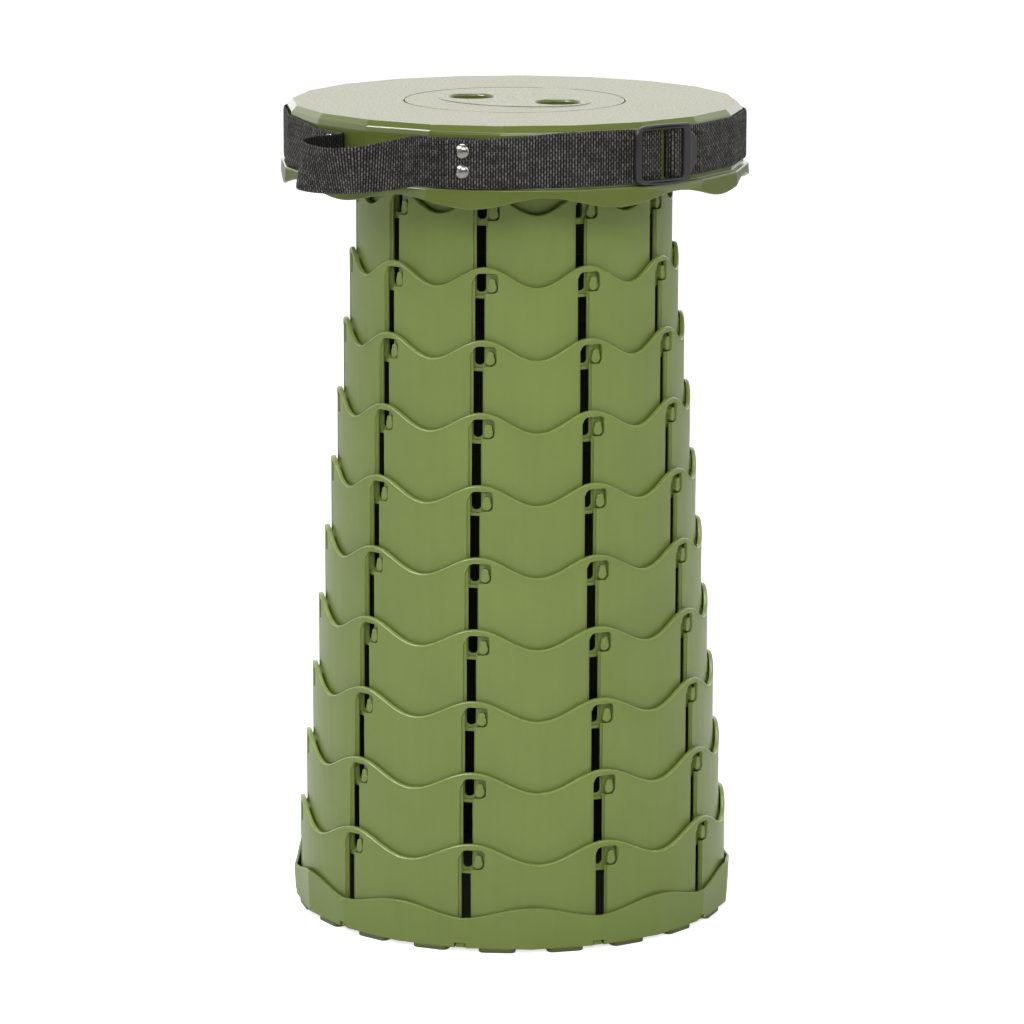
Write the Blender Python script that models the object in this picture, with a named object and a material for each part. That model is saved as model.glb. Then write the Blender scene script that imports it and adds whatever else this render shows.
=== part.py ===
"""Telescopic camping stool: a seat on ten nested rings that stack out of a base cup.

Metres, +Z up. The origin is on the stool's axis at floor level, and the front of the stool faces -Y.
An azimuth is an angle in degrees about the axis: 0 points to the front, 90 points to +X.
Ring 1 is the smallest, under the seat. The last ring stands in the base cup. Ring 0 is the seat's collar.
"""
import bpy
import bmesh
from math import ceil, cos, degrees, pi, radians, sin, sqrt
from mathutils import Euler, Vector

# Rings
RING_COUNT = 10
LOBES = 10
FIRST_RING_RADIUS = 0.0870
WALL = 0.0024
RING_SPACING = 0.0012
RING_HEIGHT = 0.0561
WAVE_DEPTH = 0.0110
CREST_TURN = -0.3
SLOT_AZIMUTH = -11.75
SLOT_DRIFT = -0.06
SLOT_WIDTH = 0.0053
SLOT_CORNER = 0.0014
SLOT_STRIP = 0.0034
LOCK_OFFSET = 0.0067
PEG_WIDTH = 0.0050
PEG_TIP_WIDTH = 0.0031
PEG_HEIGHT = 0.0076
PEG_FOOT = 0.0036
POCKET_HEADROOM = 0.0030
POCKET_SIDE_ROOM = 0.0009
RIM_ABOVE_POCKET = 0.0034
TRACK_SKIN = 0.0006
FLAT_MARGIN = 0.0010

# Base cup
FOOT_HEIGHT = 0.0024
FOOT_WIDTH = 0.0200
FOOT_DEPTH = 0.0090
FLOOR_THICKNESS = 0.0012
CENTRE_FOOT_RADIUS = 0.0250
BASE_CORNER_AZIMUTH = 5.0
BASE_WALL_GAP = 0.0006
BASE_RIM_WALL = 0.0019
BASE_BOTTOM_WALL = 0.0012
BASE_WAVE_AZIMUTH = -13.0
NOTCH_WIDTH = 0.0065
NOTCH_HEIGHT = 0.0030
NOTCH_AZIMUTH = -13.5

# Seat
FACETS = 20
SEAT_CORNER_AZIMUTH = -3.0
SEAT_RADIUS = 0.1255
SEAT_PLATE = 0.0030
SEAT_WALL = 0.0022
EDGE_ROUND = 0.0011
EDGE_DRAFT = 0.0005
BAND_HEIGHT = 0.0060
SKIRT_STEP = 0.0030
SKIRT_FLARE = 0.0003
SKIRT_WALL = 0.0020
SKIRT_DROP = 0.0048
SKIRT_WAVE_DEPTH = 0.0062
SKIRT_WAVE_AZIMUTH = -10.5
STEP_THICKNESS = 0.0027
COLLAR_HEIGHT = 0.0548
COLLAR_FLANGE_RADIUS = 0.0720
COLLAR_FLANGE = 0.0024
COLLAPSED_CLEARANCE = 0.0005
WELL_DEPTH = 0.0100
WELL_WALL = 0.0024
RIB_WIDTH = 0.0016
RIB_DEPTH = 0.0060
RIB_REACH = 0.0105

# Centre cap
CAP_RADIUS = 0.0601
CAP_THICKNESS = 0.0020
CAP_LEDGE = 0.0034
CAP_SPIGOT_DEPTH = 0.0077
CAP_SPIGOT_WALL = 0.0018
CAP_EDGE = 0.0004
FINGER_HOLE_RADIUS = 0.0123
FINGER_HOLE_FLARE = 0.0010
FINGER_HOLE_OFFSET = 0.0272
FINGER_HOLE_ANGLE = -29.8
FINGER_TUBE_WALL = 0.0018
OVAL_LONG = 0.0450
OVAL_SHORT = 0.0320
OVAL_RISE = 0.0003

# Webbing, rivets and buckle
WEBBING_WIDTH = 0.0268
WEBBING_THICKNESS = 0.0014
RIVET_TAIL = 0.0005
RIVET_TAIL_RADIUS = 0.0029
RIVET_HEAD_RADIUS = 0.0041
RIVET_HEAD_RISE = 0.0024
RIVET_DOME_ANGLE = 50.0
RIVET_SHANK_RADIUS = 0.0014
RIVET_SPACING = 0.0105
RIVET_RAISE = 0.0012
FRONT_RIVET_AZIMUTH = -12.3
SIDE_RIVET_AZIMUTH = -50.0
BELT_FRONT_END = -16.2
BELT_SIDE_END = -46.2
HANDLE_FRONT_END = -8.8
HANDLE_SIDE_END = -54.5
HANDLE_FRONT_RUN = 6.4
HANDLE_SIDE_RUN = 1.4
LIFT_MARGIN = 1.0
BUCKLE_AZIMUTH = 38.3
BUCKLE_LENGTH = 0.0372
BUCKLE_HEIGHT = 0.0305
BUCKLE_THICKNESS = 0.0028
BUCKLE_RAIL = 0.0026
BUCKLE_RAISE = 0.0026
BUCKLE_BAR = 0.0036
BUCKLE_GRIP_BAR = 0.0064
BUCKLE_SLOT = 0.0022
BUCKLE_TAB = 0.0066
BUCKLE_TAB_INSET = 0.0051
BELT_GAP_IN_BUCKLE = 0.0040

# Shared clearances and roundness
GAP = 0.0003
OVERLAP = 0.0005
SIDE_CLEARANCE = 0.0004
CIRCLE_SIDES = 36
SMALL_SIDES = 16
PIN_SIDES = 8
MITRE_LIMIT = 0.5

# The handle's free webbing between its riveted ends, as (azimuth, distance outside the seat's edge,
# rise above the belt's middle, lean of the upper edge)
HANDLE_ROUTE = (
    (-21.7, 0.0099, 0.0016, 0.0000),
    (-23.8, 0.0209, 0.0012, 0.0005),
    (-26.5, 0.0315, 0.0000, 0.0022),
    (-29.9, 0.0392, -0.0013, 0.0042),
    (-34.0, 0.0425, -0.0020, 0.0045),
    (-38.2, 0.0426, -0.0016, 0.0032),
    (-41.7, 0.0406, -0.0010, 0.0015),
    (-44.0, 0.0372, -0.0006, 0.0000),
    (-45.1, 0.0315, -0.0003, 0.0000),
    (-44.5, 0.0243, 0.0000, 0.0000),
    (-43.4, 0.0163, 0.0000, 0.0000),
    (-42.6, 0.0098, 0.0000, 0.0000),
    (-42.5, 0.0049, 0.0000, 0.0000),
    (-43.7, 0.0021, 0.0000, 0.0000),
)

# Sizes that follow from those above
POCKET_HEIGHT = PEG_HEIGHT + POCKET_HEADROOM
RING_STEP = RING_HEIGHT - RIM_ABOVE_POCKET - POCKET_HEIGHT - PEG_FOOT + GAP
SKIRT_RADIUS = SEAT_RADIUS + SKIRT_STEP
RING_BED = FOOT_HEIGHT + FLOOR_THICKNESS + GAP
COLLAR_BOTTOM = RING_BED + RING_COUNT * RING_STEP
SEAT_UNDERSIDE = COLLAR_BOTTOM + COLLAR_HEIGHT + GAP
SEAT_TOP = SEAT_UNDERSIDE + SEAT_PLATE
COLLAPSED_DROP = SEAT_UNDERSIDE - (RING_BED + RING_HEIGHT) - COLLAPSED_CLEARANCE
BELT_TOP = SEAT_TOP - BAND_HEIGHT
BELT_BOTTOM = BELT_TOP - WEBBING_WIDTH
BELT_MIDDLE = (BELT_TOP + BELT_BOTTOM) / 2
STEP_TOP = BELT_BOTTOM - GAP
SKIRT_MIDDLE = STEP_TOP - STEP_THICKNESS - SKIRT_DROP
FACET_STEP = 360 / FACETS
LOBE_STEP = 360 / LOBES
INRADIUS = cos(radians(FACET_STEP / 2))


def polar(radius, azimuth, height=0.0):
    """A point at a distance from the axis."""
    angle = radians(azimuth)
    return Vector((radius * sin(angle), -radius * cos(angle), height))


def outward(azimuth):
    """The level direction that points away from the axis."""
    return polar(1.0, azimuth)


def sideways(azimuth):
    """The level direction that points along the wall, towards larger azimuths."""
    return polar(1.0, azimuth + 90)


def at(azimuth, lateral, depth, height):
    """A point in the flat frame of one azimuth: sideways, outward from the axis, and up."""
    return outward(azimuth) * depth + sideways(azimuth) * lateral + Vector((0, 0, height))


def ring_radius(index):
    """Outer radius of a ring. Index 0 is the seat's collar."""
    return FIRST_RING_RADIUS + (index - 1) * (WALL + RING_SPACING)


def ring_bottom(index):
    return RING_BED + (RING_COUNT - index) * RING_STEP


def lock_azimuth(index, lobe=0):
    """The middle between a slot and its pocket in a ring's wall."""
    ring = max(index, 1)
    slot = SLOT_AZIMUTH + lobe * LOBE_STEP + (ring - 1) * SLOT_DRIFT
    return slot + degrees(LOCK_OFFSET / 2 / ring_radius(ring))


def flat_half_width():
    """Half the width of the flat in a ring's wall that carries a slot, its pocket and a peg."""
    return LOCK_OFFSET / 2 + PEG_WIDTH / 2 + POCKET_SIDE_ROOM + FLAT_MARGIN


def flat_half_angle(index):
    return degrees(flat_half_width() / ring_radius(index))


def flat_distance(radius, index):
    """How far a ring's flat lies from the axis, for a wall surface of this radius."""
    return radius * cos(radians(flat_half_angle(index)))


def add_material(obj, name, colour, roughness, metallic=0.0):
    material = bpy.data.materials.get(name) or bpy.data.materials.new(name)
    material.use_nodes = True
    shader = material.node_tree.nodes["Principled BSDF"]
    shader.inputs["Base Color"].default_value = (*colour, 1.0)
    shader.inputs["Roughness"].default_value = roughness
    shader.inputs["Metallic"].default_value = metallic
    obj.data.materials.append(material)


def make_object(name, bm, parent=None):
    """Turn a bmesh into an object with its faces pointing out."""
    bmesh.ops.recalc_face_normals(bm, faces=bm.faces)
    mesh = bpy.data.meshes.new(name)
    bm.to_mesh(mesh)
    bm.free()
    obj = bpy.data.objects.new(name, mesh)
    bpy.context.collection.objects.link(obj)
    obj.parent = parent
    return obj


def combine(target, tool_name, bm, operation):
    """Cut a shape from an object, or join it on, with a Boolean that stays on the object."""
    tool = make_object(tool_name, bm)
    tool.hide_render = True
    tool.display_type = 'WIRE'
    tool.parent = target
    modifier = target.modifiers.new(tool_name, 'BOOLEAN')
    modifier.object = tool
    modifier.operation = operation
    modifier.solver = 'EXACT'


def add_prism(bm, outline, azimuth, near, far):
    """Add a closed prism: an outline of (lateral, height) pushed outward between two depths."""
    loops = []
    for depth in (near, far):
        loops.append([bm.verts.new(at(azimuth, x, depth, z)) for x, z in outline])
    close_loops(bm, loops)


def close_loops(bm, loops):
    """Skin equal loops in order and cap both ends."""
    for low, high in zip(loops, loops[1:]):
        for i in range(len(low)):
            j = (i + 1) % len(low)
            bm.faces.new((low[i], low[j], high[j], high[i]))
    bm.faces.new(loops[0])
    bm.faces.new(reversed(loops[-1]))


def add_box(bm, azimuth, half_width, near, far, low, high):
    outline = ((-half_width, low), (half_width, low), (half_width, high), (-half_width, high))
    add_prism(bm, outline, azimuth, near, far)


def add_turned(bm, profile, sides, centre=(0.0, 0.0)):
    """Add a closed turned body from a profile of (radius, height), with flat ends."""
    loops = []
    for radius, height in profile:
        loop = []
        for i in range(sides):
            point = polar(radius, i * 360 / sides, height)
            loop.append(bm.verts.new(point + Vector((centre[0], centre[1], 0))))
        loops.append(loop)
    close_loops(bm, loops)


def wall_loop(bm, corners, radius_at, height_at, extras):
    """One loop round a many-sided wall, as a list per side: the corner, then points along the side.

    extras gives, for each side in turn, the fractions of the side where more points lie.
    """
    sides = []
    for i, azimuth in enumerate(corners):
        following = corners[(i + 1) % len(corners)]
        span = (following - azimuth) % 360
        points = []
        for fraction in (0.0, *extras[i % len(extras)]):
            bearing = azimuth + span * fraction
            height = height_at(bearing)
            radius = radius_at(height)
            start = polar(radius, azimuth, height)
            end = polar(radius, following, height)
            points.append(bm.verts.new(start.lerp(end, fraction)))
        sides.append(points)
    return sides


def add_panels(bm, lower, upper):
    """One flat panel for each side between two loops."""
    count = len(lower)
    for i in range(count):
        below = lower[i] + lower[(i + 1) % count][:1]
        above = upper[i] + upper[(i + 1) % count][:1]
        bm.faces.new(below + above[::-1])


def add_strip(bm, first, second):
    """Quads between two loops that have the same points, such as along a rim."""
    one = [vertex for side in first for vertex in side]
    two = [vertex for side in second for vertex in side]
    for i in range(len(one)):
        j = (i + 1) % len(one)
        bm.faces.new((one[i], one[j], two[j], two[i]))


def level(value):
    """A height or radius that is the same all round."""
    return lambda _: value


def wave(middle, depth, low_azimuth):
    """A height that falls and rises once in each lobe, lowest at low_azimuth."""
    return lambda bearing: middle - depth / 2 * cos(radians((bearing - low_azimuth) * LOBES))


# Rings and their pegs

def ring_corners(index):
    """The upright edges of a ring's wall: a flat at each lock, and three equal sides between flats."""
    corners = []
    half = flat_half_angle(index)
    rest = (LOBE_STEP - 2 * half) / 3
    for lobe in range(LOBES):
        middle = lock_azimuth(index, lobe)
        corners += [middle - half, middle + half, middle + half + rest, middle + half + 2 * rest]
    return corners


def ring_wall(index):
    """The wavy wall of one ring, before its slots are cut."""
    bm = bmesh.new()
    outer = level(ring_radius(index))
    inner = level(ring_radius(index) - WALL)
    bottom = level(ring_bottom(index))
    crest = ring_bottom(index) + RING_HEIGHT
    valley_azimuth = lock_azimuth(index) + CREST_TURN + LOBE_STEP / 2
    rim = wave(crest - WAVE_DEPTH / 2, WAVE_DEPTH, valley_azimuth)
    corners = ring_corners(index)
    plain = ((),)
    crest_and_valley = ((0.5,), (), (0.5,), ())
    outer_low = wall_loop(bm, corners, outer, bottom, plain)
    outer_high = wall_loop(bm, corners, outer, rim, crest_and_valley)
    inner_high = wall_loop(bm, corners, inner, rim, crest_and_valley)
    inner_low = wall_loop(bm, corners, inner, bottom, plain)
    add_panels(bm, outer_low, outer_high)
    add_strip(bm, outer_high, inner_high)
    add_panels(bm, inner_low, inner_high)
    add_strip(bm, inner_low, outer_low)
    return bm


def pocket_floor(index):
    """The ledge in a ring's wall that the pegs of the ring above stand on."""
    return ring_bottom(index) + RING_STEP + PEG_FOOT - GAP


def slots(index):
    """Cutters for a ring's upright slots, each with a pocket at its upper right where a peg locks."""
    bm = bmesh.new()
    slot_left = -LOCK_OFFSET / 2 - SLOT_WIDTH / 2
    slot_right = slot_left + SLOT_WIDTH
    pocket_right = LOCK_OFFSET / 2 + PEG_WIDTH / 2 + POCKET_SIDE_ROOM
    bottom = ring_bottom(index) + SLOT_STRIP
    floor = pocket_floor(index)
    top = floor + POCKET_HEIGHT
    corner = SLOT_CORNER
    outline = (
        (slot_left, bottom + corner), (slot_left + corner, bottom), (slot_right - corner, bottom),
        (slot_right, bottom + corner), (slot_right, floor),
        (pocket_right, floor), (pocket_right, top - corner), (pocket_right - corner, top),
        (slot_left + corner, top), (slot_left, top - corner),
    )
    radius = ring_radius(index)
    for lobe in range(LOBES):
        add_prism(bm, outline, lock_azimuth(index, lobe), radius - 2 * WALL, radius + WALL)
    return bm


def peg_reach(index):
    """How far from the axis the pegs end that work in this ring's wall, under its outer skin."""
    return flat_distance(ring_radius(index), index) - TRACK_SKIN - GAP


def peg_tracks(index):
    """Cutters for the tracks inside a ring's wall, down which the inner ring's pegs travel."""
    bm = bmesh.new()
    left = LOCK_OFFSET / 2 - PEG_WIDTH / 2 - SIDE_CLEARANCE
    right = LOCK_OFFSET / 2 + PEG_WIDTH / 2 + SIDE_CLEARANCE
    low = ring_bottom(index) + PEG_FOOT - 2 * GAP
    high = pocket_floor(index) + OVERLAP
    outline = ((left, low), (right, low), (right, high), (left, high))
    near = ring_radius(index) - 2 * WALL
    for lobe in range(LOBES):
        add_prism(bm, outline, lock_azimuth(index, lobe), near, peg_reach(index) + GAP)
    return bm


def pegs(index):
    """The pegs at a ring's foot, which reach into the wall of the next ring out."""
    bm = bmesh.new()
    outer = index + 1
    half = PEG_WIDTH / 2
    tip = PEG_TIP_WIDTH / 2
    foot = ring_bottom(index) + PEG_FOOT
    middle = foot + PEG_HEIGHT / 2
    top = foot + PEG_HEIGHT
    shape = ((-tip, foot), (tip, foot), (half, middle), (tip, top), (-tip, top), (-half, middle))
    outline = tuple((x + LOCK_OFFSET / 2, z) for x, z in shape)
    near = flat_distance(ring_radius(index), max(index, 1)) - TRACK_SKIN / 2
    for lobe in range(LOBES):
        add_prism(bm, outline, lock_azimuth(outer, lobe), near, peg_reach(outer))
    return bm


def make_ring(index, parent):
    name = f"ring_{index:02d}"
    obj = make_object(name, ring_wall(index), parent)
    combine(obj, f"{name}_slots", slots(index), 'DIFFERENCE')
    combine(obj, f"{name}_tracks", peg_tracks(index), 'DIFFERENCE')
    if index < RING_COUNT:
        combine(obj, f"{name}_pegs", pegs(index), 'UNION')
    return obj


# Base cup

def base_inner_radius():
    return (ring_radius(RING_COUNT) + BASE_WALL_GAP) / INRADIUS


def base_rim_height():
    """The rim stands just under the seat's skirt when the stool is pushed down."""
    return wave(SKIRT_MIDDLE - COLLAPSED_DROP - GAP, SKIRT_WAVE_DEPTH, BASE_WAVE_AZIMUTH)


def base_outer_radius(height):
    """The cup's outer wall leans out a little towards its rim."""
    rim = SKIRT_MIDDLE - COLLAPSED_DROP
    share = (height - FOOT_HEIGHT) / (rim - FOOT_HEIGHT)
    return base_inner_radius() + BASE_BOTTOM_WALL + share * (BASE_RIM_WALL - BASE_BOTTOM_WALL)


def base_wall():
    bm = bmesh.new()
    corners = [BASE_CORNER_AZIMUTH + i * FACET_STEP for i in range(FACETS)]
    thirds = ((1 / 3, 2 / 3),)
    plain = ((),)
    rim = base_rim_height()
    inner = level(base_inner_radius())
    floor = FOOT_HEIGHT + FLOOR_THICKNESS
    outer_low = wall_loop(bm, corners, base_outer_radius, level(FOOT_HEIGHT), plain)
    outer_high = wall_loop(bm, corners, base_outer_radius, rim, thirds)
    inner_high = wall_loop(bm, corners, inner, rim, thirds)
    inner_low = wall_loop(bm, corners, inner, level(floor), plain)
    add_panels(bm, outer_low, outer_high)
    add_strip(bm, outer_high, inner_high)
    add_panels(bm, inner_low, inner_high)
    bm.faces.new([side[0] for side in inner_low])
    bm.faces.new([side[0] for side in outer_low])
    return bm


def base_feet():
    """A low pad under the middle of each side, and a round one under the centre."""
    bm = bmesh.new()
    edge = base_outer_radius(FOOT_HEIGHT) * INRADIUS - GAP
    top = FOOT_HEIGHT + OVERLAP
    for i in range(FACETS):
        azimuth = BASE_CORNER_AZIMUTH + (i + 0.5) * FACET_STEP
        add_box(bm, azimuth, FOOT_WIDTH / 2, edge - FOOT_DEPTH, edge, 0.0, top)
    add_turned(bm, ((CENTRE_FOOT_RADIUS, 0.0), (CENTRE_FOOT_RADIUS, top)), SMALL_SIDES)
    return bm


def base_notches():
    """Cutters for the small snap openings at the foot of the cup's wall."""
    bm = bmesh.new()
    near = ring_radius(RING_COUNT) + GAP
    far = base_inner_radius() + 2 * BASE_RIM_WALL
    for lobe in range(LOBES):
        azimuth = NOTCH_AZIMUTH + lobe * LOBE_STEP
        add_box(bm, azimuth, NOTCH_WIDTH / 2, near, far, FOOT_HEIGHT - OVERLAP, FOOT_HEIGHT + NOTCH_HEIGHT)
    return bm


def make_base(parent):
    obj = make_object("base_cup", base_wall(), parent)
    combine(obj, "base_feet", base_feet(), 'UNION')
    combine(obj, "base_notches", base_notches(), 'DIFFERENCE')
    return obj


# Seat, collar and cap

def seat_skin():
    """The seat's plate, edge and skirt as one moulding, before the well is cut."""
    bm = bmesh.new()
    corners = [SEAT_CORNER_AZIMUTH + i * FACET_STEP for i in range(FACETS)]
    plain = ((),)
    thirds = ((1 / 3, 2 / 3),)
    hem = wave(SKIRT_MIDDLE, SKIRT_WAVE_DEPTH, SKIRT_WAVE_AZIMUTH)
    step_foot = STEP_TOP - STEP_THICKNESS
    inner_wall = SEAT_RADIUS - SEAT_WALL

    def loop(radius, height):
        return wall_loop(bm, corners, level(radius), level(height), plain)

    outer = [
        loop(SEAT_RADIUS - EDGE_DRAFT - EDGE_ROUND, SEAT_TOP),
        loop(SEAT_RADIUS - EDGE_DRAFT, SEAT_TOP - EDGE_ROUND),
        loop(SEAT_RADIUS, BELT_TOP),
        loop(SEAT_RADIUS, STEP_TOP),
        loop(SKIRT_RADIUS, STEP_TOP - GAP),
    ]
    outer_hem = wall_loop(bm, corners, level(SKIRT_RADIUS + SKIRT_FLARE), hem, thirds)
    inner_hem = wall_loop(bm, corners, level(SKIRT_RADIUS + SKIRT_FLARE - SKIRT_WALL), hem, thirds)
    inner = [
        loop(SKIRT_RADIUS - SKIRT_WALL, step_foot),
        loop(inner_wall, step_foot),
        loop(inner_wall, SEAT_UNDERSIDE),
    ]
    bm.faces.new([side[0] for side in outer[0]])
    for above, below in zip(outer, outer[1:]):
        add_panels(bm, below, above)
    add_panels(bm, outer[-1], outer_hem)
    add_strip(bm, outer_hem, inner_hem)
    add_panels(bm, inner[0], inner_hem)
    for below, above in zip(inner, inner[1:]):
        add_panels(bm, below, above)
    bm.faces.new([side[0] for side in inner[-1]])
    return bm


def well_radius():
    """The hole through the seat's plate, under the cap's ledge."""
    return CAP_RADIUS + GAP - CAP_LEDGE


def seat_tube():
    """A short tube round the well, under the plate, still filled."""
    bm = bmesh.new()
    tube = well_radius() + WELL_WALL
    top = SEAT_UNDERSIDE + OVERLAP
    add_turned(bm, ((tube, SEAT_UNDERSIDE - WELL_DEPTH), (tube, top)), CIRCLE_SIDES)
    return bm


def seat_spokes():
    """Short ribs that run out from the tube, under the plate."""
    bm = bmesh.new()
    tube = well_radius() + WELL_WALL / 2
    top = SEAT_UNDERSIDE + OVERLAP
    for i in range(LOBES):
        azimuth = SLOT_AZIMUTH + (i + 0.5) * LOBE_STEP
        add_box(bm, azimuth, RIB_WIDTH / 2, tube, tube + RIB_REACH, SEAT_UNDERSIDE - RIB_DEPTH, top)
    return bm


def seat_well():
    """The stepped hole that the cap drops into."""
    bm = bmesh.new()
    ledge = SEAT_TOP - CAP_THICKNESS - GAP
    mouth = CAP_RADIUS + GAP
    profile = (
        (well_radius(), SEAT_UNDERSIDE - 2 * WELL_DEPTH), (well_radius(), ledge),
        (mouth, ledge), (mouth, SEAT_TOP + WELL_DEPTH),
    )
    add_turned(bm, profile, CIRCLE_SIDES)
    return bm


def make_seat_shell(parent):
    obj = make_object("seat_shell", seat_skin(), parent)
    combine(obj, "seat_well_tube", seat_tube(), 'UNION')
    combine(obj, "seat_spokes", seat_spokes(), 'UNION')
    combine(obj, "seat_well", seat_well(), 'DIFFERENCE')
    return obj


def collar_wall():
    """The seat's own ring, with an inward flange at its top that the seat stands on."""
    bm = bmesh.new()
    corners = ring_corners(1)
    plain = ((),)
    outer = ring_radius(0)
    top = COLLAR_BOTTOM + COLLAR_HEIGHT
    flange_under = top - COLLAR_FLANGE
    section = (
        (outer, COLLAR_BOTTOM), (outer, top),
        (COLLAR_FLANGE_RADIUS, top), (COLLAR_FLANGE_RADIUS, flange_under),
        (outer - WALL, flange_under), (outer - WALL, COLLAR_BOTTOM),
    )
    loops = [wall_loop(bm, corners, level(radius), level(height), plain) for radius, height in section]
    for i, loop in enumerate(loops):
        add_strip(bm, loop, loops[(i + 1) % len(loops)])
    return bm


def make_collar(parent):
    obj = make_object("seat_collar", collar_wall(), parent)
    combine(obj, "seat_collar_pegs", pegs(0), 'UNION')
    return obj


def finger_hole_centres():
    angle = radians(FINGER_HOLE_ANGLE)
    offset = Vector((FINGER_HOLE_OFFSET * cos(angle), FINGER_HOLE_OFFSET * sin(angle)))
    return (-offset, offset)


def cap_disc():
    """The cap's disc with the spigot that centres it in the seat's well."""
    bm = bmesh.new()
    spigot = well_radius() - GAP
    underside = SEAT_TOP - CAP_THICKNESS
    foot = underside - CAP_SPIGOT_DEPTH
    profile = (
        (CAP_RADIUS - CAP_EDGE, SEAT_TOP), (CAP_RADIUS, SEAT_TOP - CAP_EDGE), (CAP_RADIUS, underside),
        (spigot, underside), (spigot, foot), (spigot - CAP_SPIGOT_WALL, foot),
        (spigot - CAP_SPIGOT_WALL, underside),
    )
    add_turned(bm, profile, CIRCLE_SIDES)
    return bm


def finger_tubes():
    bm = bmesh.new()
    underside = SEAT_TOP - CAP_THICKNESS
    radius = FINGER_HOLE_RADIUS + FINGER_TUBE_WALL
    for centre in finger_hole_centres():
        profile = ((radius, underside - CAP_SPIGOT_DEPTH), (radius, underside + OVERLAP))
        add_turned(bm, profile, SMALL_SIDES, centre)
    return bm


def oval_pad():
    """The slightly raised oval round both finger holes."""
    bm = bmesh.new()
    angle = radians(FINGER_HOLE_ANGLE)
    loops = []
    for height in (SEAT_TOP - OVERLAP, SEAT_TOP + OVAL_RISE):
        loop = []
        for i in range(CIRCLE_SIDES):
            turn = 2 * pi * i / CIRCLE_SIDES
            point = Vector((OVAL_LONG * cos(turn), OVAL_SHORT * sin(turn), height))
            point.rotate(Euler((0, 0, angle)))
            loop.append(bm.verts.new(point))
        loops.append(loop)
    close_loops(bm, loops)
    return bm


def finger_holes():
    bm = bmesh.new()
    mouth = FINGER_HOLE_RADIUS + FINGER_HOLE_FLARE
    top = SEAT_TOP + OVAL_RISE
    for centre in finger_hole_centres():
        profile = (
            (FINGER_HOLE_RADIUS, SEAT_UNDERSIDE - 2 * WELL_DEPTH),
            (FINGER_HOLE_RADIUS, top - FINGER_HOLE_FLARE),
            (mouth, top), (mouth, top + OVERLAP),
        )
        add_turned(bm, profile, SMALL_SIDES, centre)
    return bm


def make_cap(parent):
    obj = make_object("seat_cap", cap_disc(), parent)
    combine(obj, "cap_oval", oval_pad(), 'UNION')
    combine(obj, "cap_tubes", finger_tubes(), 'UNION')
    combine(obj, "cap_holes", finger_holes(), 'DIFFERENCE')
    return obj


# Webbing

def seat_side_point(azimuth, offset):
    """A point at a distance outside the seat's many-sided edge, where the belt lies."""
    middle = SEAT_CORNER_AZIMUTH + FACET_STEP / 2
    turn = (azimuth - middle + FACET_STEP / 2) % FACET_STEP - FACET_STEP / 2
    distance = (SEAT_RADIUS * INRADIUS + offset) / cos(radians(turn))
    return polar(distance, azimuth)


def inner_layer():
    """Offset of the handle's webbing where it lies under the belt, clear of the rivets' tails."""
    return GAP + RIVET_TAIL + GAP


def outer_layer():
    """Offset of the belt where it lies over the handle's webbing."""
    return inner_layer() + WEBBING_THICKNESS + GAP


def seat_corners(start, end):
    """The azimuths of the seat's corners between two azimuths."""
    corners = []
    corner = SEAT_CORNER_AZIMUTH + ceil((start - SEAT_CORNER_AZIMUTH) / FACET_STEP) * FACET_STEP
    while corner < end:
        corners.append(corner)
        corner += FACET_STEP
    return corners


def belt_stations(start, end, lifted_start, lifted_end):
    """Plan points of a belt along the seat's edge, with its lift over the handle's webbing at an end."""
    ramp = FACET_STEP / 3
    azimuths = [start, end] + seat_corners(start, end)
    for edge, direction in ((lifted_start, 1), (lifted_end, -1)):
        if edge is not None:
            azimuths += [edge, edge + direction * ramp]
    points = []
    for azimuth in sorted(set(azimuths)):
        offset = GAP
        if lifted_start is not None and azimuth <= lifted_start:
            offset = outer_layer()
        if lifted_end is not None and azimuth >= lifted_end:
            offset = outer_layer()
        points.append(seat_side_point(azimuth, offset + WEBBING_THICKNESS / 2))
    return points


def add_ribbon(bm, path, width, thickness):
    """A band of webbing along a path of (point, lean): point is its middle, lean tips its top back."""
    loops = []
    for i, (point, lean) in enumerate(path):
        before = path[max(i - 1, 0)][0]
        after = path[min(i + 1, len(path) - 1)][0]
        along = Vector((after.x - before.x, after.y - before.y, 0)).normalized()
        here = (point - before).to_2d()
        there = (after - point).to_2d()
        bend = 1.0
        if here.length > 0 and there.length > 0:
            bend = max(cos(here.angle(there) / 2), MITRE_LIMIT)
        normal = Vector((along.y, -along.x, 0)) * (thickness / 2 / bend)
        rise = sqrt(max(width * width - 4 * lean * lean, 0)) / 2
        tip = Vector((along.y, -along.x, 0)) * lean
        low = point - Vector((0, 0, rise)) + tip
        high = point + Vector((0, 0, rise)) - tip
        loops.append([bm.verts.new(p) for p in (low + normal, high + normal, high - normal, low - normal)])
    close_loops(bm, loops)


def raised(points, height):
    return [(Vector((p.x, p.y, height)), 0.0) for p in points]


def rivet_places(azimuth):
    """The two rivets of one row, as (azimuth, height)."""
    middle = BELT_MIDDLE + RIVET_RAISE
    return [(azimuth, middle + RIVET_SPACING / 2), (azimuth, middle - RIVET_SPACING / 2)]


def rivet_frame(azimuth):
    """The facet that carries a rivet: its azimuth, and how far along it the rivet lies."""
    middle = SEAT_CORNER_AZIMUTH + FACET_STEP / 2
    facet = middle + round((azimuth - middle) / FACET_STEP) * FACET_STEP
    lateral = SEAT_RADIUS * INRADIUS * sin(radians(azimuth - facet))
    return facet, lateral


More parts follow.
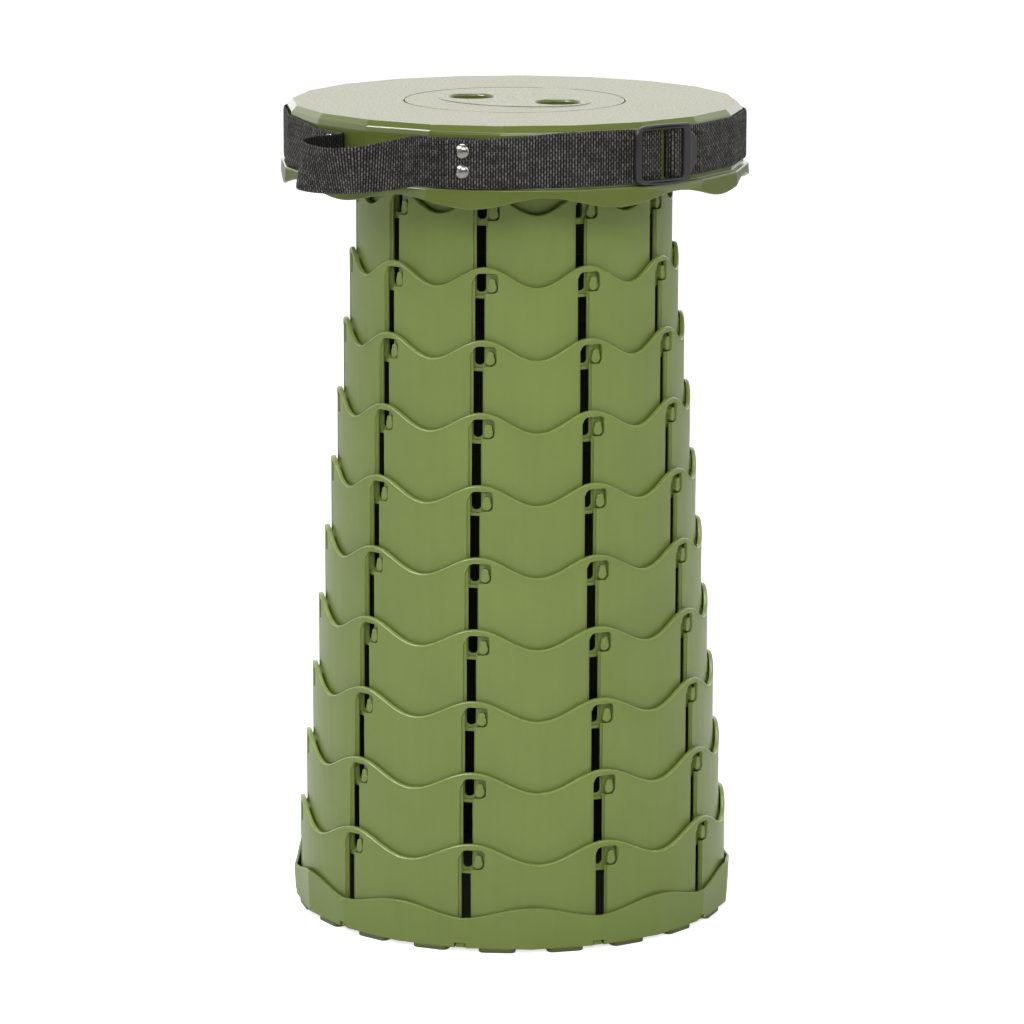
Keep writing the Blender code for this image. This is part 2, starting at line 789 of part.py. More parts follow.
def add_rivet_body(bm, azimuth, height, profile, sides):
    """Turn a profile of (radius, offset from the seat's side) about a rivet's own axis."""
    facet, lateral = rivet_frame(azimuth)
    loops = []
    for radius, offset in profile:
        depth = SEAT_RADIUS * INRADIUS + offset
        loop = []
        for i in range(sides):
            turn = 2 * pi * (i + 0.5) / sides
            point = at(facet, lateral + radius * cos(turn), depth, height + radius * sin(turn))
            loop.append(bm.verts.new(point))
        loops.append(loop)
    close_loops(bm, loops)


def rivet_holes(azimuth):
    """Cutters for the holes of one rivet row, through both layers of webbing."""
    bm = bmesh.new()
    radius = RIVET_SHANK_RADIUS + GAP
    for place, height in rivet_places(azimuth):
        profile = ((radius, -WEBBING_THICKNESS), (radius, outer_layer() + 2 * WEBBING_THICKNESS))
        add_rivet_body(bm, place, height, profile, PIN_SIDES)
    return bm


def make_belt(name, start, end, lifted_start, lifted_end, rivet_azimuth, parent):
    bm = bmesh.new()
    stations = belt_stations(start, end, lifted_start, lifted_end)
    add_ribbon(bm, raised(stations, BELT_MIDDLE), WEBBING_WIDTH, WEBBING_THICKNESS)
    obj = make_object(name, bm, parent)
    combine(obj, f"{name}_holes", rivet_holes(rivet_azimuth), 'DIFFERENCE')
    return obj


def smooth_route(points, steps):
    """Points along a smooth curve through the given ones."""
    result = []
    for i in range(len(points) - 1):
        a = points[max(i - 1, 0)]
        b = points[i]
        c = points[i + 1]
        d = points[min(i + 2, len(points) - 1)]
        for k in range(steps):
            t = k / steps
            blend = []
            for p, q, r, s in zip(a, b, c, d):
                linear = (r - p) * t
                square = (2 * p - 5 * q + 4 * r - s) * t * t
                cubic = (3 * q - p - 3 * r + s) * t ** 3
                blend.append(0.5 * (2 * q + linear + square + cubic))
            result.append(tuple(blend))
    result.append(tuple(points[-1]))
    return result


def handle_path():
    """The handle's whole length: under the belt's front end, round its free loop, under the other end."""
    centre = inner_layer() + WEBBING_THICKNESS / 2
    leaves = FRONT_RIVET_AZIMUTH - HANDLE_FRONT_RUN
    returns = BELT_SIDE_END + HANDLE_SIDE_RUN
    front = [HANDLE_FRONT_END, *reversed(seat_corners(leaves, HANDLE_FRONT_END)), leaves]
    side = [*reversed(seat_corners(HANDLE_SIDE_END, returns)), HANDLE_SIDE_END]
    path = raised([seat_side_point(azimuth, centre) for azimuth in front], BELT_MIDDLE)
    route = [(*path[-1][0], 0.0)]
    for azimuth, distance, rise, lean in HANDLE_ROUTE:
        route.append((*polar(SEAT_RADIUS + distance, azimuth, BELT_MIDDLE + rise), lean))
    last = seat_side_point(returns, centre)
    route.append((last.x, last.y, BELT_MIDDLE, 0.0))
    for x, y, z, lean in smooth_route(route, 2)[1:]:
        path.append((Vector((x, y, z)), lean))
    return path + raised([seat_side_point(azimuth, centre) for azimuth in side], BELT_MIDDLE)


def make_handle(parent):
    bm = bmesh.new()
    add_ribbon(bm, handle_path(), WEBBING_WIDTH, WEBBING_THICKNESS)
    obj = make_object("carry_handle", bm, parent)
    combine(obj, "handle_front_holes", rivet_holes(FRONT_RIVET_AZIMUTH), 'DIFFERENCE')
    combine(obj, "handle_side_holes", rivet_holes(SIDE_RIVET_AZIMUTH), 'DIFFERENCE')
    return obj


def make_rivet(name, azimuth, height, parent):
    """A domed rivet: flat tail against the seat, shank through both layers, head outside."""
    bm = bmesh.new()
    top = outer_layer() + WEBBING_THICKNESS + GAP
    dome = radians(RIVET_DOME_ANGLE)
    profile = [
        (RIVET_TAIL_RADIUS, GAP), (RIVET_TAIL_RADIUS, GAP + RIVET_TAIL),
        (RIVET_SHANK_RADIUS, GAP + RIVET_TAIL), (RIVET_SHANK_RADIUS, top), (RIVET_HEAD_RADIUS, top),
        (RIVET_HEAD_RADIUS * cos(dome), top + RIVET_HEAD_RISE * sin(dome)),
    ]
    add_rivet_body(bm, azimuth, height, profile, PIN_SIDES)
    return make_object(name, bm, parent)


def buckle_distance():
    """The buckle's back lies just outside the belt's corners."""
    return (SEAT_RADIUS * INRADIUS + GAP + WEBBING_THICKNESS) / INRADIUS + GAP


def buckle_plate():
    bm = bmesh.new()
    half = BUCKLE_LENGTH / 2
    low = BELT_MIDDLE - BUCKLE_HEIGHT / 2 + BUCKLE_RAISE
    high = low + BUCKLE_HEIGHT
    corner = BUCKLE_RAIL
    tab_low = low + BUCKLE_TAB_INSET
    tab_high = high - BUCKLE_TAB_INSET
    tab = half + BUCKLE_TAB
    outline = (
        (-half + corner, low), (half - corner, low), (half, low + corner),
        (tab - corner, tab_low), (tab, tab_low + 2 * corner), (tab, tab_high - 2 * corner),
        (tab - corner, tab_high), (half, high - corner), (half - corner, high),
        (-half + corner, high), (-half, high - corner), (-half, low + corner),
    )
    near = buckle_distance()
    add_prism(bm, outline, BUCKLE_AZIMUTH, near, near + BUCKLE_THICKNESS)
    return bm


def buckle_windows():
    """Cutters for the wide window and the narrow slot that the two belts pass through."""
    bm = bmesh.new()
    half = BUCKLE_LENGTH / 2
    low = BELT_MIDDLE - BUCKLE_HEIGHT / 2 + BUCKLE_RAISE + BUCKLE_RAIL
    high = low + BUCKLE_HEIGHT - 2 * BUCKLE_RAIL
    near = buckle_distance() - BUCKLE_THICKNESS
    far = near + 3 * BUCKLE_THICKNESS
    slot = half - BUCKLE_GRIP_BAR - BUCKLE_SLOT
    for left, right in ((-half + BUCKLE_BAR, slot - BUCKLE_BAR), (slot, slot + BUCKLE_SLOT)):
        outline = ((left, low), (right, low), (right, high), (left, high))
        add_prism(bm, outline, BUCKLE_AZIMUTH, near, far)
    return bm


def make_buckle(parent):
    obj = make_object("belt_buckle", buckle_plate(), parent)
    combine(obj, "buckle_windows", buckle_windows(), 'DIFFERENCE')
    return obj


def make_webbing(parent):
    """The belt in two lengths that meet in the buckle, the carrying handle and its rivets."""
    half_gap = degrees(BELT_GAP_IN_BUCKLE / 2 / SEAT_RADIUS)
    front_lift = HANDLE_FRONT_END + LIFT_MARGIN
    side_lift = 360 + HANDLE_SIDE_END - LIFT_MARGIN
    front = make_belt("belt_front", BELT_FRONT_END, BUCKLE_AZIMUTH - half_gap, front_lift, None,
                      FRONT_RIVET_AZIMUTH, parent)
    back = make_belt("belt_back", BUCKLE_AZIMUTH + half_gap, 360 + BELT_SIDE_END, None, side_lift,
                     SIDE_RIVET_AZIMUTH, parent)
    return [front, back, make_handle(parent)]


def make_rivets(parent):
    rivets = []
    for row, azimuth in (("front", FRONT_RIVET_AZIMUTH), ("side", SIDE_RIVET_AZIMUTH)):
        for place, (bearing, height) in zip(("upper", "lower"), rivet_places(azimuth)):
            rivets.append(make_rivet(f"rivet_{row}_{place}", bearing, height, parent))
    return rivets


def make_empty(name, parent=None):
    empty = bpy.data.objects.new(name, None)
    bpy.context.collection.objects.link(empty)
    empty.parent = parent
    return empty


def main():
    for obj in list(bpy.data.objects):
        bpy.data.objects.remove(obj, do_unlink=True)
    green = (0.215, 0.270, 0.100)
    black = (0.016, 0.016, 0.018)
    carrier = make_empty("base_frame")
    add_material(make_base(carrier), "base_plastic", green, 0.45)
    for index in range(RING_COUNT, 0, -1):
        if index < RING_COUNT:
            carrier = make_empty(f"ring_{index:02d}_frame", carrier)
        add_material(make_ring(index, carrier), f"ring_{index:02d}_plastic", green, 0.45)
    seat = make_empty("seat_frame", carrier)
    add_material(make_collar(seat), "collar_plastic", green, 0.45)
    add_material(make_seat_shell(seat), "seat_plastic", green, 0.30)
    add_material(make_cap(seat), "cap_plastic", green, 0.40)
    for strap in make_webbing(seat):
        add_material(strap, f"{strap.name}_webbing", black, 0.85)
    add_material(make_buckle(seat), "buckle_plastic", black, 0.40)
    for rivet in make_rivets(seat):
        add_material(rivet, f"{rivet.name}_steel", (0.75, 0.74, 0.72), 0.25, 1.0)


main()
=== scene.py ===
"""Looks of the telescopic stool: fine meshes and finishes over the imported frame.

Metres, +Z up, the front faces -Y. An azimuth is an angle in degrees about the axis: 0 points to the
front, 90 to +X. Ring 1 is under the seat, ring 10 stands in the base cup, ring 0 is the seat's collar.
Flat shapes are drawn in millimetres as (lateral, height, depth), then bent round the axis.
"""
from math import atan2, ceil, cos, degrees, pi, radians, sin, sqrt, tan

import bmesh
import bpy
from mathutils import Matrix, Vector


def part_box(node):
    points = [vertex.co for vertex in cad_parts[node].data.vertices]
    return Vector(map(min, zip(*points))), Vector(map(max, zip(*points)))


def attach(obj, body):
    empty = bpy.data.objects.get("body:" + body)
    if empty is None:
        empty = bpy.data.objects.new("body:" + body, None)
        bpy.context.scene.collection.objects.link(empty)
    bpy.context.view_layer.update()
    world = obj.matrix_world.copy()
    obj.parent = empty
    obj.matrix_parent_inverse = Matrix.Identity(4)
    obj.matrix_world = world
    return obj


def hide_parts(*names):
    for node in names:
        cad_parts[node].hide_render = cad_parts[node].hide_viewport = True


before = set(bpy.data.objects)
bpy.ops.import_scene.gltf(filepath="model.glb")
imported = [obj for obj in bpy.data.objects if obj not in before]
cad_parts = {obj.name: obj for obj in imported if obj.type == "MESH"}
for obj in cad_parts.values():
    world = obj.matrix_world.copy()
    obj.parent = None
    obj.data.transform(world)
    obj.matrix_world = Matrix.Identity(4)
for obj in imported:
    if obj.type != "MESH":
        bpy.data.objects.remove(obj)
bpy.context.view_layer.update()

# Rings, as in the frame
RING_COUNT = 10
LOBES = 10
LOBE_STEP = 360 / LOBES
FIRST_RING_RADIUS = 0.0870
WALL = 0.0024
RING_PITCH = 0.0036
RING_STEP = 0.0388
RING_HEIGHT = 0.0561
WAVE_DEPTH = 0.0110
CREST_TURN = -0.3
SLOT_AZIMUTH = -11.75
SLOT_DRIFT = -0.06
SLOT_WIDTH = 0.0053
SLOT_STRIP = 0.0034
LOCK_OFFSET = 0.0067
PEG_WIDTH = 0.0050
PEG_HEIGHT = 0.0076
PEG_FOOT = 0.0036
PEG_RECESS = 0.0010
POCKET_HEADROOM = 0.0030
POCKET_SIDE_ROOM = 0.0009
TRACK_SKIN = 0.0006
SIDE_CLEARANCE = 0.0004
GAP = 0.0003

# Ring detail that only shows close up
PEG_KNOB_HALF = 0.00195
PEG_KNOB_FROM = 0.0047
PEG_SHOULDER = 0.0007
PEG_CUT_LEFT = 0.0012
PEG_CUT_RIGHT = 0.0016
PEG_CUT_LEFT_RISE = 0.0014
PEG_CUT_RIGHT_RISE = 0.0018
PEG_EDGE = 0.0004
SLOT_FOOT_ROUND = 0.0024
SLOT_TOP_ROUND = 0.0033
LEDGE_LEFT = 0.0012
LEDGE_LEFT_SLOPE = 0.00045
LEDGE_RIGHT = 0.00075
LEDGE_RIGHT_SLOPE = 0.00025
LEDGE_DEPTH = 0.0013
LEDGE_ABOVE_POCKET_FLOOR = 0.0083
LEDGE_BELOW_SLOT = 0.0013
LEDGE_ROUNDS = ((0.0026, 1), (0.0020, 1), (0.0010, 0), (0.0036, 1))    # (corner radius, whether it grows)
RIM_ROUND = 0.00045
LIP_PROUD = 0.00015
LIP_HEIGHT = 0.0018
LIP_ROUND = 0.0010
COLUMNS_PER_LOBE = 18
RIM_POINTS = 48

# Seat, as in the frame
FACETS = 20
FACET_STEP = 360 / FACETS
INRADIUS = cos(radians(FACET_STEP / 2))
SEAT_CORNER_AZIMUTH = -3.0
SEAT_RADIUS = 0.1255
SEAT_TOP = 0.4500
SEAT_UNDERSIDE = 0.4470
SEAT_WALL = 0.0022
EDGE_DRAFT = 0.0005
CHAMFER_SLOPE = 41.0
CHAMFER_FOOT = 0.4456
CHAMFER_ROUND = 0.0030
BELT_TOP = 0.4440
WEBBING_WIDTH = 0.0268
BELT_BOTTOM = BELT_TOP - WEBBING_WIDTH
BELT_MIDDLE = (BELT_TOP + BELT_BOTTOM) / 2
STEP_TOP = BELT_BOTTOM - GAP
STEP_THICKNESS = 0.0027
SKIRT_RADIUS = 0.1285
SKIRT_FLARE = 0.0003
SKIRT_WALL = 0.0020
SKIRT_MIDDLE = 0.4094
SKIRT_WAVE_DEPTH = 0.0062
SKIRT_WAVE_AZIMUTH = -10.5
WELL_RADIUS = 0.0570
WELL_FOOT = 0.4370
WELL_WALL = 0.0024
COLLAR_FLANGE_RADIUS = 0.0720
COLLAR_FLANGE = 0.0024
COLLAR_SLOT_ROOM = 0.0020
RIB_WIDTH = 0.0016
RIB_DEPTH = 0.0060
RIB_REACH = 0.0105
CORNER_SOFTNESS = 0.0030

# Cap
CAP_RADIUS = 0.0601
CAP_THICKNESS = 0.0020
CAP_SPIGOT_FOOT = 0.4403
CAP_SPIGOT_WALL = 0.0018
FINGER_HOLE_RADIUS = 0.0123
FINGER_HOLE_OFFSET = 0.0272
FINGER_HOLE_ANGLE = -29.8
FINGER_TUBE_WALL = 0.0018
FINGER_HOLE_ROUND = 0.0016
OVAL_LONG = 0.0450
OVAL_SHORT = 0.0320
OVAL_RISE = 0.0004
CAP_SEAM = 0.0006
CAP_BEVEL = 0.0004

# Base cup
FOOT_HEIGHT = 0.0024
FOOT_WIDTH = 0.0200
FOOT_DEPTH = 0.0090
FOOT_ROUND = 0.0030
FOOT_EDGE = 0.0007
FLOOR_THICKNESS = 0.0012
CENTRE_FOOT_RADIUS = 0.0250
BASE_CORNER_AZIMUTH = 5.0
BASE_INNER_RADIUS = 0.1215
BASE_BOTTOM_WALL = 0.0012
BASE_RIM_WALL = 0.0019
BASE_RIM_MIDDLE = 0.0226
BASE_WAVE_AZIMUTH = -13.0
BASE_SOFTNESS = 0.0060
NOTCH_WIDTH = 0.0065
NOTCH_HEIGHT = 0.0030
NOTCH_AZIMUTH = -13.5
NOTCH_SLIT = 0.0008

# Webbing, rivets and buckle
WEBBING_THICKNESS = 0.0014
WEAVE_PITCH = 0.00148
WEAVE_ROW = 0.00270
WEAVE_RISE = 0.00024
EDGE_SCALLOP = 0.00018
RIVET_TAIL = 0.0005
RIVET_TAIL_RADIUS = 0.0029
RIVET_SHANK_RADIUS = 0.0014
RIVET_HEAD_RADIUS = 0.0041
RIVET_HEAD_EDGE = 0.0003
RIVET_HEAD_SINK = 0.0002
RIVET_HEAD_RISE = 0.0024
RIVET_SPACING = 0.0105
RIVET_RAISE = 0.0012
FRONT_RIVET_AZIMUTH = -12.3
SIDE_RIVET_AZIMUTH = -50.0
BELT_FRONT_END = -16.2
BELT_SIDE_END = -46.2
HANDLE_FRONT_END = -8.8
HANDLE_SIDE_END = -54.5
HANDLE_FRONT_RUN = 6.4
HANDLE_SIDE_RUN = 0.1
BELT_CLIMB = 0.0020
BELT_SAG = 0.0004
BELT_SPREAD = 0.0022
BELT_SIDE_RISE = 0.0010
BELT_SIDE_FALL = 0.0026
BELT_SIDE_SPREAD = 0.0018
BELT_CLIMB_SPAN = (-8, 26)    # azimuth where it starts, and how far it runs
BELT_SAG_SPAN = (-4, -6)
BELT_SPREAD_SPAN = (-5, 20)
BUCKLE_RAISE_SPAN = (72, 55)
BELT_SIDE_RISE_SPAN = (235, 30)
BELT_SIDE_FALL_SPAN = (278, 34)
BUCKLE_AZIMUTH = 37.4
BUCKLE_LENGTH = 0.0372
BUCKLE_HEIGHT = 0.0305
BUCKLE_THICKNESS = 0.0028
BUCKLE_RAISE = 0.0026
BUCKLE_RAIL = 0.0026
BUCKLE_ARCH = 0.0010
BUCKLE_END = 0.0038
BUCKLE_HOLD = 0.0185
WINDOW_END = 0.0130
WINDOW_ROUND = 0.0012
BAR_FROM = 0.0078
BAR_TO = 0.0112
BAR_REACH = 0.0008
BAR_THICKNESS = 0.0014
BAR_RECESS = 0.0022
TAB_HALF = 0.0105
TAB_REACH = 0.0066
TAB_ROOT = 0.0030
TAB_THICKNESS = 0.0020
TAB_RECESS = 0.0009
TAB_SLOPE = 0.30

# The handle's free webbing, close to the frame's: (azimuth, distance outside the seat's edge,
# rise above the belt's middle, lean of the upper edge)
HANDLE_ROUTE = (
    (-21.7, 0.0099, 0.0016, 0.0),
    (-23.8, 0.0209, 0.0012, 0.0005),
    (-26.5, 0.0315, 0.0, 0.0022),
    (-29.9, 0.0392, -0.0013, 0.0042),
    (-34.0, 0.0425, -0.0021, 0.0045),
    (-38.2, 0.0426, -0.0021, 0.0030),
    (-41.7, 0.0406, -0.0015, 0.0004),
    (-43.5, 0.0372, -0.0010, -0.0022),
    (-44.6, 0.0315, -0.0010, -0.0022),
    (-44.8, 0.0243, -0.0013, -0.0012),
    (-44.8, 0.0163, -0.0015, 0.0),
    (-44.6, 0.0098, -0.0016, 0.0),
    (-44.7, 0.0049, -0.0016, 0.0),
    (-45.7, 0.0021, -0.0016, 0.0),
)

# Camera, solved from the photograph's ellipses for an image 1024 pixels wide
CAMERA_PLACE = (0.0, -2.6, 0.7475)
CAMERA_PITCH = 11.479
CAMERA_PAN = 0.018
CAMERA_ROLL = 0.143
CAMERA_LENS = 167.38
MM = 1000.0


def polar(radius, azimuth, height=0.0):
    angle = radians(azimuth)
    return Vector((radius * sin(angle), -radius * cos(angle), height))


def at(azimuth, lateral, depth, height):
    """A point out from the axis along an azimuth, and then to its side."""
    return polar(1.0, azimuth) * depth + polar(1.0, azimuth + 90) * lateral + Vector((0, 0, height))


def ring_radius(index):
    return FIRST_RING_RADIUS + (index - 1) * RING_PITCH


def ring_bottom(index):
    node = "seat_collar" if index == 0 else f"ring_{index:02d}"
    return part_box(node)[0][2]


def lock_azimuth(index, lobe=0):
    """The middle between a slot and its pocket."""
    ring = max(index, 1)
    slot = SLOT_AZIMUTH + lobe * LOBE_STEP + (ring - 1) * SLOT_DRIFT
    return slot + degrees(LOCK_OFFSET / 2 / ring_radius(ring))


def pocket_floor(index):
    return ring_bottom(index) + RING_STEP + PEG_FOOT - GAP


def wave(middle, depth, low_azimuth):
    return lambda azimuth: middle - depth / 2 * cos(radians((azimuth - low_azimuth) * LOBES))


# Mesh helpers

def mesh_from(name, bm):
    bmesh.ops.recalc_face_normals(bm, faces=bm.faces)
    mesh = bpy.data.meshes.new(name)
    bm.to_mesh(mesh)
    bm.free()
    return mesh


def link(name, mesh):
    obj = bpy.data.objects.new(name, mesh)
    bpy.context.collection.objects.link(obj)
    return obj


def evaluated(obj):
    """The mesh of an object with its modifiers applied."""
    graph = bpy.context.evaluated_depsgraph_get()
    return bpy.data.meshes.new_from_object(obj.evaluated_get(graph), depsgraph=graph)


def with_meshes(bm, meshes):
    """Add meshes to a bmesh, and free them."""
    for mesh in meshes:
        bm.from_mesh(mesh)
        bpy.data.meshes.remove(mesh)
    return bm


def combined(mesh, tools):
    """A bmesh of a mesh after Booleans with (operation, tool mesh) in turn."""
    obj = link("work", mesh)
    used = [obj]
    for operation, tool_mesh in tools:
        modifier = obj.modifiers.new("combine", 'BOOLEAN')
        modifier.operation = operation
        modifier.object = link("tool", tool_mesh)
        modifier.solver = 'EXACT'
        used.append(modifier.object)
    bm = with_meshes(bmesh.new(), [evaluated(obj)])
    for helper in used:
        data = helper.data
        bpy.data.objects.remove(helper)
        bpy.data.meshes.remove(data)
    return bm


def paint(bm, number, test):
    """Give a material's number to the plain faces whose normal and centre pass a test."""
    bmesh.ops.recalc_face_normals(bm, faces=bm.faces)
    for face in bm.faces:
        if face.material_index == 0 and test(face.normal, face.calc_center_median()):
            face.material_index = number


def paint_shade_inside(bm):
    """Give the faces that look at the axis the second material, a painted shade for the dark insides seen
    through the slots.
    """
    paint(bm, 1, lambda normal, centre: normal.xy.dot(centre.xy.normalized()) < -0.5)


def piece(name, bm, body, materials, nodes, sharp=32.0):
    """Make a visible piece that rides on a body and stands for CAD nodes."""
    obj = link(name, mesh_from(name, bm))
    mesh = obj.data
    mesh.shade_smooth()
    for material in materials:
        mesh.materials.append(material)
    if sharp:
        mesh.set_sharp_from_angle(angle=radians(sharp))
        modifier = obj.modifiers.new("normals", 'WEIGHTED_NORMAL')
        modifier.keep_sharp = True
    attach(obj, body)
    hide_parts(*nodes)


def skinned(rows, capped=True):
    """A bmesh over equal rows of points, capped at both ends or else closed on itself."""
    bm = bmesh.new()
    loops = [[bm.verts.new(point) for point in row] for row in rows]
    if not capped:
        loops.append(loops[0])
    for low, high in zip(loops, loops[1:]):
        for i in range(len(low)):
            j = (i + 1) % len(low)
            bm.faces.new((low[i], low[j], high[j], high[i]))
    if capped:
        bm.faces.new(loops[0])
        bm.faces.new(reversed(loops[-1]))
    return bm


def rounded(corners, steps=6):
    """A closed outline from corners of (x, y, radius), with an arc in place of each corner."""
    points = []
    count = len(corners)
    for i, (x, y, radius) in enumerate(corners):
        here = Vector((x, y))
        before = (Vector(corners[i - 1][:2]) - here).normalized()
        after = (Vector(corners[(i + 1) % count][:2]) - here).normalized()
        half = before.angle(after) / 2
        centre = here + (before + after).normalized() * (radius / sin(half))
        start = here + before * (radius / tan(half)) - centre
        end = here + after * (radius / tan(half)) - centre
        first = atan2(start.y, start.x)
        turn = (atan2(end.y, end.x) - first + pi) % (2 * pi) - pi
        for k in range(steps + 1):
            angle = first + turn * k / steps
            points.append((centre.x + radius * cos(angle), centre.y + radius * sin(angle)))
    return points


def circle(radius, sides):
    return [(radius * cos(2 * pi * i / sides), radius * sin(2 * pi * i / sides)) for i in range(sides)]


def flat_plate(outlines, thickness, bevel, segments=2):
    """A plate in millimetres with rounded edges: (x, y, depth), its front face at depth 0."""
    curve = bpy.data.curves.new("outline", 'CURVE')
    curve.dimensions = '2D'
    curve.fill_mode = 'BOTH'
    curve.extrude = (thickness / 2 - bevel) * MM
    curve.bevel_depth = bevel * MM
    curve.bevel_resolution = segments
    curve.offset = -bevel * MM
    for outline in outlines:
        spline = curve.splines.new('POLY')
        spline.points.add(len(outline) - 1)
        spline.use_cyclic_u = True
        for point, (x, y) in zip(spline.points, outline):
            point.co = (x * MM, y * MM, 0.0, 1.0)
    obj = link("outline", curve)
    bm = with_meshes(bmesh.new(), [evaluated(obj)])
    bpy.data.objects.remove(obj)
    bpy.data.curves.remove(curve)
    bmesh.ops.remove_doubles(bm, verts=bm.verts, dist=0.001)
    bmesh.ops.translate(bm, verts=bm.verts, vec=(0, 0, -thickness / 2 * MM))
    return bm


def placed(bm, place):
    """A flat plate's or prism's mesh in metres, each point put by place(x, y, depth)."""
    for vertex in bm.verts:
        x, y, depth = vertex.co / MM
        vertex.co = place(x, y, depth)
    return mesh_from("placed", bm)


def on_wall(azimuth, radius, shift=0.0):
    """A place across, up and out from a point on a round wall."""
    return lambda x, y, depth: at(azimuth, x + shift, radius + depth, y)


def flat_prism(levels):
    """A closed flat body in millimetres from (depth, outline) levels with equal counts."""
    return skinned([[(x * MM, y * MM, depth * MM) for x, y in outline] for depth, outline in levels])


def box_outline(left, right, low, high):
    return [(left, low), (right, low), (right, high), (left, high)]


def rounded_box(left, right, low, high, radii, steps=6):
    """A box's outline with four corner radii, counted round from the lower left, or one for all."""
    if isinstance(radii, float):
        radii = [radii] * 4
    corners = zip(box_outline(left, right, low, high), radii)
    return rounded([(x, y, radius) for (x, y), radius in corners], steps)


# Rings

SLOT_LEFT = -LOCK_OFFSET / 2 - SLOT_WIDTH / 2
SLOT_RIGHT = SLOT_LEFT + SLOT_WIDTH
POCKET_RIGHT = LOCK_OFFSET / 2 + PEG_WIDTH / 2 + POCKET_SIDE_ROOM


def lobe_outline(index):
    """One lobe of a ring's wall laid flat, a little wider than the lobe on both sides."""
    radius = ring_radius(index)
    bottom = ring_bottom(index)
    half = radians(LOBE_STEP / 2) * radius + WALL
    points = [(-half, bottom), (half, bottom)]
    for i in range(RIM_POINTS + 1):
        x = half - 2 * half * i / RIM_POINTS
        fall = WAVE_DEPTH / 2 * (1 - cos(LOBES * (x / radius - radians(CREST_TURN))))
        points.append((x, bottom + RING_HEIGHT - fall - LIP_ROUND))
    return points


def slot_outline(index):
    """The slot through a ring's wall with its pocket at the upper right."""
    bottom = ring_bottom(index) + SLOT_STRIP
    ledge = pocket_floor(index)
    top = ledge + PEG_HEIGHT + POCKET_HEADROOM
    return rounded((
        (SLOT_LEFT, bottom, SLOT_FOOT_ROUND), (SLOT_RIGHT, bottom, SLOT_FOOT_ROUND),
        (SLOT_RIGHT, ledge, 0.0006), (POCKET_RIGHT, ledge, 0.0026), (POCKET_RIGHT, top, 0.0022),
        (SLOT_LEFT, top, SLOT_TOP_ROUND),
    ))


def ledge_cutter(index):
    """The shallow recess round a slot, with sloping sides."""
    low = ring_bottom(index) + SLOT_STRIP - LEDGE_BELOW_SLOT
    high = pocket_floor(index) + LEDGE_ABOVE_POCKET_FLOOR
    levels = []
    for depth, grow in ((-LEDGE_DEPTH, 0.0), (0.0, 1.0), (LEDGE_DEPTH, 1.0)):
        left = SLOT_LEFT - LEDGE_LEFT - grow * LEDGE_LEFT_SLOPE
        right = SLOT_RIGHT + LEDGE_RIGHT + grow * LEDGE_RIGHT_SLOPE
        rise = grow * LEDGE_LEFT_SLOPE
        radii = [radius + grows * rise for radius, grows in LEDGE_ROUNDS]
        levels.append((depth, rounded_box(left, right, low - rise, high + rise, radii, 5)))
    return flat_prism(levels)


def track_cutter(index):
    """The hidden track inside a ring's wall, down which the inner ring's pegs travel."""
    left = LOCK_OFFSET / 2 - PEG_WIDTH / 2 - SIDE_CLEARANCE
    right = LOCK_OFFSET / 2 + PEG_WIDTH / 2 + SIDE_CLEARANCE
    low = ring_bottom(index) + PEG_FOOT - 2 * GAP
    outline = box_outline(left, right, low, pocket_floor(index) + GAP)
    return flat_prism(((-2 * WALL, outline), (-TRACK_SKIN, outline)))


def bent_ring(index, bm):
    """Bend one flat lobe round the axis, and repeat it all round with its seams welded."""
    radius = ring_radius(index) * MM
    half = radians(LOBE_STEP / 2) * radius
    for k in range(COLUMNS_PER_LOBE + 1):
        x = -half + 2 * half * k / COLUMNS_PER_LOBE
        everything = [*bm.verts, *bm.edges, *bm.faces]
        bmesh.ops.bisect_plane(bm, geom=everything, dist=0.0005, plane_co=(x, 0, 0), plane_no=(1, 0, 0),
                               clear_inner=(k == 0), clear_outer=(k == COLUMNS_PER_LOBE))
    middle = lock_azimuth(index)
    for vertex in bm.verts:
        x, height, depth = vertex.co
        vertex.co = polar((radius + depth) / MM, middle + degrees(x / radius), height / MM)
    bmesh.ops.dissolve_limit(bm, angle_limit=radians(1.0), verts=bm.verts, edges=bm.edges)
    stray = [vertex for vertex in bm.verts if len(vertex.link_edges) == 2]
    bmesh.ops.dissolve_verts(bm, verts=stray)
    lobe = bpy.data.meshes.new("lobe")
    bm.to_mesh(lobe)
    bm.clear()
    for k in range(LOBES):
        lobe.transform(Matrix.Rotation(radians(LOBE_STEP), 4, 'Z'))
        bm.from_mesh(lobe)
    bpy.data.meshes.remove(lobe)
    bmesh.ops.remove_doubles(bm, verts=bm.verts, dist=0.00002)
    return bm


def rim_lip(index):
    """The rounded lip along a ring's wavy rim, a little proud of the wall, with a lighter painted highlight
    on its upward faces.
    """
    outer = ring_radius(index) + LIP_PROUD
    inner = ring_radius(index) - WALL
    profile = [(outer, -LIP_HEIGHT)]
    for k in range(7):
        angle = radians(15 * k)
        profile.append((outer - LIP_ROUND * (1 - cos(angle)), -LIP_ROUND * (1 - sin(angle))))
    for k in range(4):
        angle = radians(30 * k)
        profile.append((inner + RIM_ROUND * (1 - sin(angle)), -RIM_ROUND * (1 - cos(angle))))
    profile.append((inner, -LIP_HEIGHT))
    middle = ring_bottom(index) + RING_HEIGHT - WAVE_DEPTH / 2
    crest = wave(middle, -WAVE_DEPTH, lock_azimuth(index) + CREST_TURN)
    azimuths = [k * LOBE_STEP / RIM_POINTS for k in range(RIM_POINTS * LOBES)]
    bm = skinned([[polar(radius, azimuth, crest(azimuth) + drop) for azimuth in azimuths]
                  for radius, drop in profile], False)
    # Painted highlight: the lip's upward faces take the lighter third material.
    paint(bm, 2, lambda normal, centre: normal.z > 0.55)
    return mesh_from("lip", bm)


